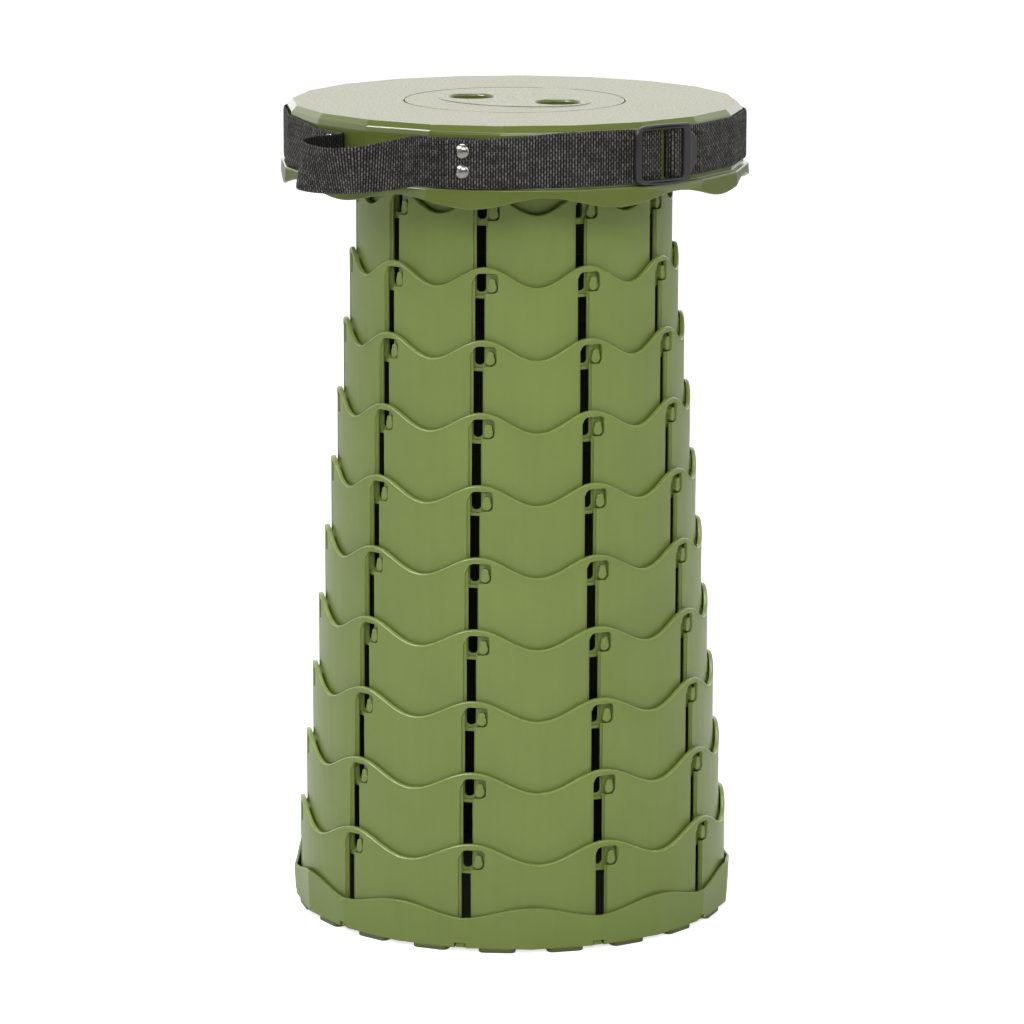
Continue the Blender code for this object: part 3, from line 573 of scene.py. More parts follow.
def peg_meshes(index):
    """The ten pegs at a ring's foot, each with a broad foot and a narrower round head."""
    outer = index + 1
    foot = ring_bottom(index) + PEG_FOOT
    half = PEG_WIDTH / 2
    neck = PEG_KNOB_HALF
    knob = foot + PEG_KNOB_FROM
    shoulder = knob - PEG_SHOULDER
    top = foot + PEG_HEIGHT
    shape = rounded((
        (-half + PEG_CUT_LEFT, foot, 0.0004), (half - PEG_CUT_RIGHT, foot, 0.0005),
        (half, foot + PEG_CUT_RIGHT_RISE, 0.0006), (half, shoulder, 0.0004), (neck, knob, 0.0003),
        (neck, top, 0.0018), (-neck, top, 0.0018), (-neck, knob, 0.0003), (-half, shoulder, 0.0004),
        (-half, foot + PEG_CUT_LEFT_RISE, 0.0005),
    ), 4)
    front = ring_radius(outer) - PEG_RECESS
    template = flat_plate([shape], front - ring_radius(index) + 2 * GAP, PEG_EDGE)
    meshes = []
    for lobe in range(LOBES):
        meshes.append(placed(template.copy(), on_wall(lock_azimuth(outer, lobe), front, LOCK_OFFSET / 2)))
    template.free()
    return meshes


def make_ring(index, materials):
    plate = flat_plate([lobe_outline(index), slot_outline(index)], WALL, RIM_ROUND)
    tools = [('DIFFERENCE', mesh_from("cutter", make(index))) for make in (ledge_cutter, track_cutter)]
    bm = bent_ring(index, combined(mesh_from("plate", plate), tools))
    pegs = peg_meshes(index) if index < RING_COUNT else []
    with_meshes(bm, [rim_lip(index), *pegs])
    paint_shade_inside(bm)
    name = f"ring_{index:02d}"
    body = "base" if index == RING_COUNT else name
    piece(f"{name}_moulding", bm, body, materials, [name])


# Many-sided and round shells

def facet_radius(radius, azimuth, corner_azimuth, softness):
    """Distance from the axis to a many-sided wall whose corners, if sharp, would lie at radius."""
    half = radians(FACET_STEP / 2)
    inner = radius * cos(half)
    turn = radians(abs((azimuth - corner_azimuth + FACET_STEP / 2) % FACET_STEP - FACET_STEP / 2))
    centre = (inner - softness) / cos(half)
    blend = atan2(softness * sin(half), centre + softness * cos(half))
    if turn < blend:
        return centre * cos(turn) + sqrt(softness ** 2 - (centre * sin(turn)) ** 2)
    return inner / cos(half - turn)


def sided_shell(profile, corner_azimuth, softness, hem, capped=False):
    """A many-sided shell, with its stations close together at the corners."""
    offsets = (-0.45, -0.22, 0.0, 0.22, 0.45, 2.2, 4.5, 6.75, 9.0, 11.25, 13.5, 15.8)
    azimuths = [corner_azimuth + i * FACET_STEP + offset for i in range(FACETS) for offset in offsets]
    return shell(profile, azimuths, corner_azimuth, softness, hem, capped)


def shell(profile, azimuths, corner_azimuth=0.0, softness=0.0, hem=None, capped=False):
    """Sweep a profile of (radius, height, many-sided, share of the hem's wave) round the axis."""
    rows = []
    for radius, height, faceted, sway in profile:
        row = []
        for azimuth in azimuths:
            distance = facet_radius(radius, azimuth, corner_azimuth, softness) if faceted else radius
            lift = sway * hem(azimuth) if sway else 0.0
            row.append(polar(distance, azimuth, height + lift))
        rows.append(row)
    return skinned(rows, capped)


def section(faceted, *points):
    """Profile points of one kind from (radius, height)."""
    return [(radius, height, faceted, 0.0) for radius, height in points]


def arc(radius, height, size, start, end, steps, faceted, sway=0.0):
    """Profile points along an arc about a centre; angles in degrees from outward towards up."""
    angles = [radians(start + (end - start) * k / steps) for k in range(steps + 1)]
    return [(radius + size * cos(angle), height + size * sin(angle), faceted, sway) for angle in angles]


def seat_profile():
    edge = SEAT_RADIUS - EDGE_DRAFT
    step_foot = STEP_TOP - STEP_THICKNESS
    inner_wall = SEAT_RADIUS - SEAT_WALL
    lip = SKIRT_RADIUS + SKIRT_FLARE
    corner = 0.0003
    small = 0.0006
    large = 0.0008
    ledge = SEAT_TOP - CAP_THICKNESS - GAP
    mouth = CAP_RADIUS + GAP + CAP_SEAM
    tube = WELL_RADIUS + WELL_WALL
    slope = radians(CHAMFER_SLOPE)
    chamfer_top = CHAMFER_FOOT + CHAMFER_ROUND * sin(slope)
    crest = edge - CHAMFER_ROUND * (1 - cos(slope))
    crest -= (SEAT_TOP - chamfer_top) * tan(slope)
    points = section(False, (WELL_RADIUS, WELL_FOOT), (WELL_RADIUS, ledge), (mouth, ledge),
                     (mouth, SEAT_TOP - CAP_BEVEL), (mouth + CAP_BEVEL, SEAT_TOP))
    points += section(True, (crest - 0.0040, SEAT_TOP), (crest - corner, SEAT_TOP),
                      (crest + corner / 3, SEAT_TOP - corner))
    points += arc(edge - CHAMFER_ROUND, CHAMFER_FOOT, CHAMFER_ROUND, CHAMFER_SLOPE, 4, 8, True)
    points += section(True, (SEAT_RADIUS, BELT_TOP), (SEAT_RADIUS, STEP_TOP + large),
                      (SEAT_RADIUS + large / 4, STEP_TOP + large / 4), (SEAT_RADIUS + large, STEP_TOP))
    points += arc(SKIRT_RADIUS - large, STEP_TOP - large, large, 90, 0, 5, True)
    points += section(True, (SKIRT_RADIUS + 0.0001, STEP_TOP - 0.0022))
    points += arc(lip - small, small, small, 0, -90, 4, True, 1.0)
    points += arc(lip - SKIRT_WALL + small, small, small, -90, -180, 3, True, 1.0)
    points += section(True, (SKIRT_RADIUS - SKIRT_WALL, step_foot), (inner_wall, step_foot),
                      (inner_wall, SEAT_UNDERSIDE - small), (inner_wall - small, SEAT_UNDERSIDE))
    return points + section(False, (tube + small, SEAT_UNDERSIDE), (tube, SEAT_UNDERSIDE - small),
                            (tube, WELL_FOOT))


def make_seat(materials):
    hem = wave(SKIRT_MIDDLE, SKIRT_WAVE_DEPTH, SKIRT_WAVE_AZIMUTH)
    bm = sided_shell(seat_profile(), SEAT_CORNER_AZIMUTH, CORNER_SOFTNESS, hem)
    # The top faces take the paler second material: partly the top's matte grained finish, partly a painted
    # sheen of light from above.
    paint(bm, 1, lambda normal, centre: normal.z > 0.85 and centre.z > SEAT_TOP - 0.0005)
    reach = WELL_RADIUS + WELL_WALL / 2
    outline = box_outline(reach, reach + RIB_REACH, SEAT_UNDERSIDE - RIB_DEPTH, SEAT_UNDERSIDE + GAP)
    ribs = []
    for lobe in range(LOBES):
        azimuth = SLOT_AZIMUTH + (lobe + 0.5) * LOBE_STEP
        rib = flat_plate([outline], RIB_WIDTH, 0.0002, 1)
        ribs.append(placed(rib, lambda x, y, depth: at(azimuth, depth + RIB_WIDTH / 2, x, y)))
    piece("seat_moulding", with_meshes(bm, ribs), "seat", materials, ["seat_shell"])


def make_collar(materials):
    outer = ring_radius(0)
    bottom = ring_bottom(0)
    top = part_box("seat_collar")[1][2]
    under = top - COLLAR_FLANGE
    profile = arc(outer - RIM_ROUND, bottom + RIM_ROUND, RIM_ROUND, -90, 0, 3, False)
    profile += arc(outer - RIM_ROUND, top - RIM_ROUND, RIM_ROUND, 0, 90, 3, False)
    profile += section(False, (COLLAR_FLANGE_RADIUS, top), (COLLAR_FLANGE_RADIUS, under),
                       (outer - WALL, under))
    profile += arc(outer - WALL + RIM_ROUND, bottom + RIM_ROUND, RIM_ROUND, 180, 270, 3, False)
    wall = mesh_from("wall", shell(profile, [i * 2.0 for i in range(180)]))
    slot = rounded_box(SLOT_LEFT, SLOT_RIGHT, bottom + SLOT_STRIP, under - COLLAR_SLOT_ROOM,
                       (SLOT_FOOT_ROUND, SLOT_FOOT_ROUND, 0.0010, 0.0010))
    tools = []
    for lobe in range(LOBES):
        cutter = flat_prism(((-2 * WALL, slot), (WALL, slot)))
        tools.append(('DIFFERENCE', placed(cutter, on_wall(lock_azimuth(0, lobe), outer))))
    bm = with_meshes(combined(wall, tools), peg_meshes(0))
    paint_shade_inside(bm)
    piece("collar_moulding", bm, "seat", materials, ["seat_collar"])


# Cap

def round_body(profile, sides, centre=Vector((0, 0, 0))):
    """A closed turned body from (radius, height), moved to a centre."""
    turns = [i * 360 / sides for i in range(sides)]
    rows = [[polar(radius, turn, height) + centre for turn in turns] for radius, height in profile]
    return mesh_from("round", skinned(rows))


def make_cap(materials):
    underside = SEAT_TOP - CAP_THICKNESS
    spigot = WELL_RADIUS - GAP
    disc = round_body((
        (CAP_RADIUS - CAP_BEVEL, SEAT_TOP), (CAP_RADIUS - 0.3 * CAP_BEVEL, SEAT_TOP - 0.3 * CAP_BEVEL),
        (CAP_RADIUS, SEAT_TOP - CAP_BEVEL), (CAP_RADIUS, underside), (spigot, underside),
        (spigot, CAP_SPIGOT_FOOT), (spigot - CAP_SPIGOT_WALL, CAP_SPIGOT_FOOT),
        (spigot - CAP_SPIGOT_WALL, underside)), 144)
    rise = SEAT_TOP + OVAL_RISE
    angle = radians(FINGER_HOLE_ANGLE)
    oval = [(x * OVAL_LONG * cos(angle) - y * OVAL_SHORT * sin(angle),
             x * OVAL_LONG * sin(angle) + y * OVAL_SHORT * cos(angle)) for x, y in circle(1.0, 96)]
    pad = flat_plate([oval], 0.0012, 0.00025, 1)
    tools = [('UNION', placed(pad, lambda x, y, depth: Vector((x, y, rise + depth))))]
    tube = FINGER_HOLE_RADIUS + FINGER_TUBE_WALL
    walls = ((tube, CAP_SPIGOT_FOOT), (tube, underside + GAP))
    hole = [(FINGER_HOLE_RADIUS, CAP_SPIGOT_FOOT - 0.005)]
    for k in range(7):
        angle = radians(180 - 90 * k / 6)
        hole.append((FINGER_HOLE_RADIUS + FINGER_HOLE_ROUND * (1 + cos(angle)),
                     rise - FINGER_HOLE_ROUND * (1 - sin(angle))))
    hole.append((FINGER_HOLE_RADIUS + FINGER_HOLE_ROUND, rise + 0.002))
    for operation, profile in (('UNION', walls), ('DIFFERENCE', hole)):
        for side in (-1, 1):
            centre = polar(side * FINGER_HOLE_OFFSET, 90 + FINGER_HOLE_ANGLE)
            tools.append((operation, round_body(profile, 64, centre)))
    bm = combined(disc, tools)
    # The cap's top faces take the paler second material: partly the grained finish, partly a painted sheen
    # of light from above.
    paint(bm, 1, lambda normal, centre: normal.z > 0.95 and centre.z > SEAT_TOP - 0.0002)
    piece("cap_moulding", bm, "seat", materials, ["seat_cap"])


# Base cup

def base_profile():
    small = 0.0006
    inner = BASE_INNER_RADIUS
    outer = inner + BASE_RIM_WALL
    foot = inner + BASE_BOTTOM_WALL
    bottom = FOOT_HEIGHT
    top = FOOT_HEIGHT + FLOOR_THICKNESS
    points = section(False, (CENTRE_FOOT_RADIUS, bottom))
    points += section(True, (foot - small, bottom), (foot - 0.0002, bottom + 0.0002),
                      (foot, bottom + 0.0007))
    points += arc(outer - small, -small, small, 0, 90, 4, True, 1.0)
    points += arc(inner + small, -small, small, 90, 180, 4, True, 1.0)
    points += section(True, (inner, top + small), (inner - small, top))
    return points + section(False, (CENTRE_FOOT_RADIUS, top))


def foot_meshes():
    """The pads under the cup's edge and the one under its centre."""
    edge = (BASE_INNER_RADIUS + BASE_BOTTOM_WALL) * INRADIUS - GAP
    height = FOOT_HEIGHT + GAP
    pad = rounded_box(-FOOT_WIDTH / 2, FOOT_WIDTH / 2, edge - FOOT_DEPTH, edge, FOOT_ROUND)
    meshes = []
    for i in range(FACETS):
        azimuth = BASE_CORNER_AZIMUTH + (i + 0.5) * FACET_STEP
        plate = flat_plate([pad], height, FOOT_EDGE)
        meshes.append(placed(plate, lambda x, y, depth: at(azimuth, x, y, -depth)))
    centre = flat_plate([circle(CENTRE_FOOT_RADIUS, 64)], height, FOOT_EDGE)
    return meshes + [placed(centre, lambda x, y, depth: Vector((x, y, -depth)))]


def make_base(materials):
    hem = wave(BASE_RIM_MIDDLE, SKIRT_WAVE_DEPTH, BASE_WAVE_AZIMUTH)
    bm = sided_shell(base_profile(), BASE_CORNER_AZIMUTH, BASE_SOFTNESS, hem, True)
    wall = BASE_INNER_RADIUS * INRADIUS
    half = NOTCH_WIDTH / 2
    notch = box_outline(-half, half, FOOT_HEIGHT - 0.001, FOOT_HEIGHT + NOTCH_HEIGHT)
    half -= NOTCH_SLIT
    tab = box_outline(-half, half, FOOT_HEIGHT + 0.0001, FOOT_HEIGHT + NOTCH_HEIGHT - NOTCH_SLIT / 2)
    tools = []
    tabs = []
    for lobe in range(LOBES):
        azimuth = NOTCH_AZIMUTH + lobe * LOBE_STEP
        cutter = flat_prism(((0.0, notch), (0.005, notch)))
        tools.append(('DIFFERENCE', placed(cutter, on_wall(azimuth, wall - 0.0001))))
        tabs.append(placed(flat_plate([tab], 0.0013, 0.0003, 1), on_wall(azimuth, wall + 0.0012)))
    feet = foot_meshes()
    # Painted shade: the feet take the darker third material, for the shadow under the cup's wall.
    for mesh in feet:
        for face in mesh.polygons:
            face.material_index = 2
    bm = with_meshes(combined(mesh_from("cup", bm), tools), tabs + feet)
    paint_shade_inside(bm)
    # Painted shade: the cup's floor takes the dark inside material too, so the slots above it show black.
    floor_top = FOOT_HEIGHT + 2 * FLOOR_THICKNESS
    paint(bm, 1, lambda normal, centre: normal.z > 0.8 and centre.z < floor_top)
    piece("base_moulding", bm, "base", materials, ["base_cup"])


# Webbing

INNER_LAYER = GAP + RIVET_TAIL + GAP
OUTER_LAYER = INNER_LAYER + WEBBING_THICKNESS + GAP
HALF_WEBBING = WEBBING_THICKNESS / 2
SEAT_FLAT = SEAT_RADIUS * INRADIUS
BUCKLE_BACK = (SEAT_FLAT + GAP + WEBBING_THICKNESS) / INRADIUS + GAP - SEAT_FLAT
HOLD_TURN = BUCKLE_HOLD / (radians(1.0) * SEAT_RADIUS)


def seat_side(azimuth, offset):
    """A point at a distance outside the seat's many-sided wall."""
    corner_radius = SEAT_RADIUS + offset / INRADIUS
    distance = facet_radius(corner_radius, azimuth, SEAT_CORNER_AZIMUTH, CORNER_SOFTNESS + offset)
    return polar(distance, azimuth)


def ease(value):
    value = min(max(value, 0.0), 1.0)
    return value * value * (3 - 2 * value)


def smooth_route(points, steps):
    """Points along a smooth curve through the given ones."""
    result = []
    ends = [points[0], *points, points[-1]]
    for stretch in zip(ends, ends[1:], ends[2:], ends[3:]):
        for k in range(steps):
            t = k / steps
            blend = []
            for p, q, r, s in zip(*stretch):
                square = (2 * p - 5 * q + 4 * r - s) * t * t
                cubic = (3 * q - p - 3 * r + s) * t ** 3
                blend.append(0.5 * (2 * q + (r - p) * t + square + cubic))
            result.append(tuple(blend))
    return result + [tuple(points[-1])]


def resampled(points, spacing):
    """Even stations along a route: (distance along it, x, y, height, lean, extra width)."""
    lengths = [0.0]
    for a, b in zip(points, points[1:]):
        lengths.append(lengths[-1] + sqrt((b[0] - a[0]) ** 2 + (b[1] - a[1]) ** 2))
    count = ceil(lengths[-1] / spacing)
    stations = []
    j = 0
    for i in range(count + 1):
        distance = lengths[-1] * i / count
        while j < len(lengths) - 2 and lengths[j + 1] < distance:
            j += 1
        share = (distance - lengths[j]) / max(lengths[j + 1] - lengths[j], 1e-9)
        point = [p + (q - p) * share for p, q in zip(points[j], points[j + 1])]
        stations.append((distance, *point))
    return stations


def make_strap(name, node, route, material, face=1):
    """Woven webbing along a route, with its cross ribs and its rounded edges in the mesh."""
    stations = resampled(route, WEAVE_PITCH / 6)
    shares = [sin(pi / 2 * j / 12) for j in range(-12, 13)]
    core = HALF_WEBBING - WEAVE_RISE
    rows = []
    marks = []
    for i, (distance, x, y, height, lean, wider) in enumerate(stations):
        before = stations[max(i - 2, 0)]
        after = stations[min(i + 2, len(stations) - 1)]
        along = Vector((after[1] - before[1], after[2] - before[2], 0)).normalized()
        normal = Vector((along.y, -along.x, 0))
        half = (WEBBING_WIDTH + wider) / 2
        up = (Vector((0, 0, sqrt(half * half - lean * lean))) - normal * lean) / half
        rib = WEAVE_RISE * abs(sin(pi * distance / WEAVE_PITCH)) ** 0.7
        row = []
        for side in (1, -1):
            for share in shares[::side]:
                swell = sqrt(max(1 - abs(share) ** 14, 0.06))
                scallop = EDGE_SCALLOP * abs(sin(pi * distance / WEAVE_PITCH)) * (abs(share) > 0.99)
                offset = side * (core * swell + rib * swell)
                reach = share * (half - EDGE_SCALLOP) + (scallop if share > 0 else -scallop)
                row.append(Vector((x, y, height)) + up * reach + normal * offset)
                # The mark's last part is 1 on the face, the side away from the seat; the material dims the
                # other side as painted shade.
                marks.append((distance, reach * WEBBING_WIDTH / 2 / half, float(side == face)))
        rows.append(row)
    bm = skinned(rows)
    layer = bm.verts.layers.float_vector.new("strap")
    for vertex, mark in zip(bm.verts, marks):
        vertex[layer] = mark
    piece(name, bm, "seat", [material], [node], sharp=0)


def gone(azimuth, span):
    """How much of a rise or fall an azimuth has behind it."""
    start, run = span
    return ease((azimuth - start) / run)


def belt_height(azimuth):
    """The belt's middle, which climbs to the buckle, sinks behind it and slopes to the side rivets."""
    if azimuth > BUCKLE_AZIMUTH:
        slope = BELT_SIDE_RISE * gone(azimuth, BELT_SIDE_RISE_SPAN)
        slope -= BELT_SIDE_FALL * gone(azimuth, BELT_SIDE_FALL_SPAN)
        return BELT_MIDDLE + BUCKLE_RAISE * (1 - gone(azimuth, BUCKLE_RAISE_SPAN)) + slope
    climb = BELT_CLIMB * gone(azimuth, BELT_CLIMB_SPAN)
    return BELT_MIDDLE + climb - BELT_SAG * gone(azimuth, BELT_SAG_SPAN)


def belt_spread(azimuth):
    """How much wider than flat webbing the belt shows, where it is pulled askew."""
    if azimuth > BUCKLE_AZIMUTH:
        wider = BELT_SIDE_SPREAD * gone(azimuth, BELT_SIDE_RISE_SPAN)
        return wider * (1 - gone(azimuth, BELT_SIDE_FALL_SPAN))
    return BELT_SPREAD * gone(azimuth, BELT_SPREAD_SPAN) - 2 * BELT_SAG * gone(azimuth, BELT_SAG_SPAN)


def level_route(azimuths, offset_at, height_at=belt_height, wider_at=belt_spread):
    """A route that lies on the seat's wall."""
    route = []
    for azimuth in azimuths:
        place = seat_side(azimuth, offset_at(azimuth) + HALF_WEBBING).xy
        route.append((*place, height_at(azimuth), 0.0, wider_at(azimuth)))
    return route


def spread(start, end, step=0.3):
    count = ceil(abs(end - start) / step)
    return [start + (end - start) * i / count for i in range(count + 1)]


def buckle_turn(turn, drop, wider):
    """Route points from (distance along the buckle's face, distance out from the seat's flat side)."""
    height = BELT_MIDDLE + BUCKLE_RAISE - drop
    return [(*at(BUCKLE_AZIMUTH, x, SEAT_FLAT + depth, 0.0).xy, height, 0.0, wider) for x, depth in turn]


def belt_front_route():
    """From the handle's front rivets to the buckle, where the belt turns under itself."""
    lift_from = HANDLE_FRONT_END + 1.0

    def offset(azimuth):
        return OUTER_LAYER + (GAP - OUTER_LAYER) * ease((azimuth - lift_from) / 3.0)

    route = level_route(spread(BELT_FRONT_END, BUCKLE_AZIMUTH - HOLD_TURN), offset)
    front = BUCKLE_BACK - 0.0004
    turn = ((-0.0150, 0.0027), (-0.0120, front), (-0.0060, front + 0.0002), (-0.0006, front),
            (0.0007, front - 0.0008), (0.0004, front - 0.0018), (-0.0015, 0.0014))
    bend = [route[-1], *buckle_turn(turn, 0.0005, BELT_SPREAD / 2)]
    return route[:-1] + smooth_route(bend, 8)


def belt_back_route():
    """From the buckle's middle bar, which it wraps, round the back to the handle's side rivets."""
    lift_to = 360 + HANDLE_SIDE_END - 1.0

    def offset(azimuth):
        return GAP + (OUTER_LAYER - GAP) * ease((azimuth - lift_to + 3.0) / 3.0)

    route = level_route(spread(BUCKLE_AZIMUTH + HOLD_TURN, 360 + BELT_SIDE_END), offset)
    front = BUCKLE_BACK + 0.0017
    turn = ((0.0044, 0.0013), (0.0050, 0.0012), (0.0057, 0.0013), (0.0062, 0.0020),
            (0.0064, front - 0.0012), (0.0070, front - 0.0002), (0.0086, front + 0.0001),
            (0.0106, front), (0.0124, front - 0.0007), (0.0144, 0.0026))
    bend = [*buckle_turn(turn, 0.0, 0.0), route[0]]
    return smooth_route(bend, 8)[:-1] + route


def handle_route():
    """Under the belt's front end, round the free loop, and under the belt's other end."""
    leaves = FRONT_RIVET_AZIMUTH - HANDLE_FRONT_RUN
    returns = BELT_SIDE_END + HANDLE_SIDE_RUN
    route = level_route(spread(HANDLE_FRONT_END, leaves), lambda _: INNER_LAYER, lambda _: BELT_MIDDLE,
                        lambda _: 0.0)
    free = [route[-1]]
    for azimuth, distance, rise, lean in HANDLE_ROUTE:
        free.append((*polar(SEAT_RADIUS + distance, azimuth).xy, BELT_MIDDLE + rise, lean, 0.0))
    last = level_route(spread(returns, HANDLE_SIDE_END), lambda _: INNER_LAYER,
                       lambda azimuth: belt_height(azimuth + 360), lambda _: 0.0)
    free.append(last[0])
    return route[:-1] + smooth_route(free, 12) + last[1:]


# Rivets and buckle

def make_rivet(name, azimuth, height, material):
    middle = SEAT_CORNER_AZIMUTH + FACET_STEP / 2
    facet = middle + round((azimuth - middle) / FACET_STEP) * FACET_STEP
    lateral = SEAT_FLAT * sin(radians(azimuth - facet))
    face = OUTER_LAYER + WEBBING_THICKNESS - RIVET_HEAD_SINK
    brim = face + RIVET_HEAD_EDGE
    profile = [(RIVET_TAIL_RADIUS, GAP), (RIVET_TAIL_RADIUS, GAP + RIVET_TAIL),
               (RIVET_SHANK_RADIUS, GAP + RIVET_TAIL), (RIVET_SHANK_RADIUS, face),
               (RIVET_HEAD_RADIUS, face), (RIVET_HEAD_RADIUS, brim)]
    for k in range(1, 12):
        turn = radians(90 * k / 12)
        profile.append((RIVET_HEAD_RADIUS * cos(turn), brim + RIVET_HEAD_RISE * sin(turn)))
    rows = [[at(facet, lateral + x, SEAT_FLAT + offset, height + y) for x, y in circle(radius, 48)]
            for radius, offset in profile]
    piece(f"{name}_dome", skinned(rows), "seat", [material], [name], sharp=40)


def buckle_point(x, y, depth):
    """Put a flat point of the buckle in place, with the rails arched outward in the middle."""
    bow = BUCKLE_ARCH * cos(pi * min(max(x / BUCKLE_LENGTH, -0.5), 0.5))
    height = BELT_MIDDLE + BUCKLE_RAISE + y * (1 + bow / BUCKLE_HEIGHT * 1.4)
    return at(BUCKLE_AZIMUTH, x, SEAT_FLAT + BUCKLE_BACK + BUCKLE_THICKNESS + bow + depth, height)


def make_buckle(material):
    half = BUCKLE_LENGTH / 2
    high = BUCKLE_HEIGHT / 2
    rail = high - BUCKLE_RAIL
    edge = divided(rounded_box(-half, half, -high, high, (0.0048, 0.0025, 0.0025, 0.0048), 8), 0.003)
    window = divided(rounded_box(-half + BUCKLE_END, WINDOW_END, -rail, rail, WINDOW_ROUND, 4), 0.003)
    reach = rail + BAR_REACH
    bar = divided(rounded_box(BAR_FROM, BAR_TO, -reach, reach, 0.0004, 3), 0.004)
    tab = [(half - TAB_ROOT, -TAB_HALF)]
    for k in range(25):
        turn = radians(-90 + 180 * k / 24)
        tab.append((half + TAB_REACH * cos(turn), TAB_HALF * sin(turn)))
    tab = divided(tab + [(half - TAB_ROOT, TAB_HALF)], 0.003)

    def bar_place(x, y, depth):
        return buckle_point(x, y, depth - BAR_RECESS)

    def tab_place(x, y, depth):
        slope = max(x - half, 0.0) * TAB_SLOPE
        return buckle_point(x, y, depth - TAB_RECESS - slope)

    bm = with_meshes(bmesh.new(), [
        placed(flat_plate([edge, window], BUCKLE_THICKNESS, 0.0009, 3), buckle_point),
        placed(flat_plate([bar], BAR_THICKNESS, 0.0005), bar_place),
        placed(flat_plate([tab], TAB_THICKNESS, 0.0008, 3), tab_place),
    ])
    piece("buckle_moulding", bm, "seat", [material], ["belt_buckle"], sharp=45)


def divided(outline, spacing):
    """An outline with its long sides divided, so that it can be bent."""
    points = []
    for i, (x, y) in enumerate(outline):
        nx, ny = outline[(i + 1) % len(outline)]
        count = max(ceil(sqrt((nx - x) ** 2 + (ny - y) ** 2) / spacing), 1)
        points += [(x + (nx - x) * k / count, y + (ny - y) * k / count) for k in range(count)]
    return points


# Materials

class Shader:
    """A node tree with short calls. Wherever a call takes a value, another node's output will do."""

    def __init__(self, owner):
        owner.use_nodes = True
        self.owner = owner
        self.tree = owner.node_tree

    def fill(self, node, values):
        for key, value in dict(values).items():
            if isinstance(value, bpy.types.NodeSocket):
                self.tree.links.new(value, node.inputs[key])
            else:
                node.inputs[key].default_value = value

    def node(self, kind, values=(), **settings):
        node = self.tree.nodes.new(kind)
        for key, value in settings.items():
            setattr(node, key, value)
        self.fill(node, values)
        return node

    def math(self, operation, *values):
        return self.node("ShaderNodeMath", enumerate(values), operation=operation).outputs[0]

    def product(self, first, *others):
        for value in others:
            first = self.math('MULTIPLY', first, value)
        return first

    def place(self):
        return self.node("ShaderNodeTexCoord").outputs["Object"]

    def stretched(self, vector, scale):
        return self.node("ShaderNodeMapping", {"Vector": vector, "Scale": scale}).outputs["Vector"]

    def noise(self, vector, scale, detail=3.0, roughness=0.55):
        values = {"Vector": vector, "Scale": scale, "Detail": detail, "Roughness": roughness}
        return self.node("ShaderNodeTexNoise", values).outputs["Fac"]

    def ramp(self, value, stops, interpolation='LINEAR'):
        node = self.node("ShaderNodeValToRGB", {"Fac": value})
        node.color_ramp.interpolation = interpolation
        elements = node.color_ramp.elements
        for i, (place, colour) in enumerate(stops):
            stop = elements[i] if i < 2 else elements.new(place)
            stop.position = place
            stop.color = (*colour, 1.0)
        return node.outputs["Color"]

    def remap(self, value, low, high, to_low, to_high, **settings):
        values = {"Value": value, "From Min": low, "From Max": high, "To Min": to_low, "To Max": to_high}
        return self.node("ShaderNodeMapRange", values, **settings).outputs["Result"]

    def bump(self, height, strength, distance=0.0003):
        values = {"Strength": strength, "Distance": distance, "Height": height}
        return self.node("ShaderNodeBump", values).outputs["Normal"]

    def finish(self, values):
        """Fill the surface's sockets, and give the material."""
        self.fill(self.tree.nodes["Principled BSDF"], values)
        return self.owner


def scaled(colour, factor):
    return tuple(channel * factor for channel in colour)


def moulded_plastic(name, colour, roughness, grain=0.06, scale=900.0, speckle=0.05, specular=0.5,
                    fine_share=0.2):
    """Olive moulded plastic with a fine grain, slight mottling and faint upright flow marks."""
    shader = Shader(bpy.data.materials.new(name))
    place = shader.place()
    cloud = shader.noise(place, 22.0, 4.0)
    streak = shader.noise(shader.stretched(place, (90.0, 90.0, 5.0)), 3.0, 2.0)
    fine = shader.noise(place, scale, 2.0, 0.6)
    cloud_part = shader.product(cloud, 0.7 * (1 - fine_share))
    streak_part = shader.product(streak, 0.3 * (1 - fine_share))
    tone = shader.math('ADD', shader.math('ADD', cloud_part, streak_part), shader.product(fine, fine_share))
    dark = scaled(colour, 1 - speckle)
    pale = scaled(colour, 1 + speckle)
    return shader.finish({
        "Base Color": shader.ramp(tone, ((0.30, dark), (0.70, pale))),
        "Roughness": shader.remap(cloud, 0.3, 0.7, roughness * 0.9, roughness * 1.12),
        "Normal": shader.bump(fine, grain),
        "Specular IOR Level": specular,
    })


# The webbing's colour runs from the dark one to the pale one: the black yarn with painted shade between the
# ribs, and a painted sheen on the rib crowns.
WEBBING_DARK = (0.0020, 0.0020, 0.0020)
WEBBING_SHEEN = (0.260, 0.250, 0.230)


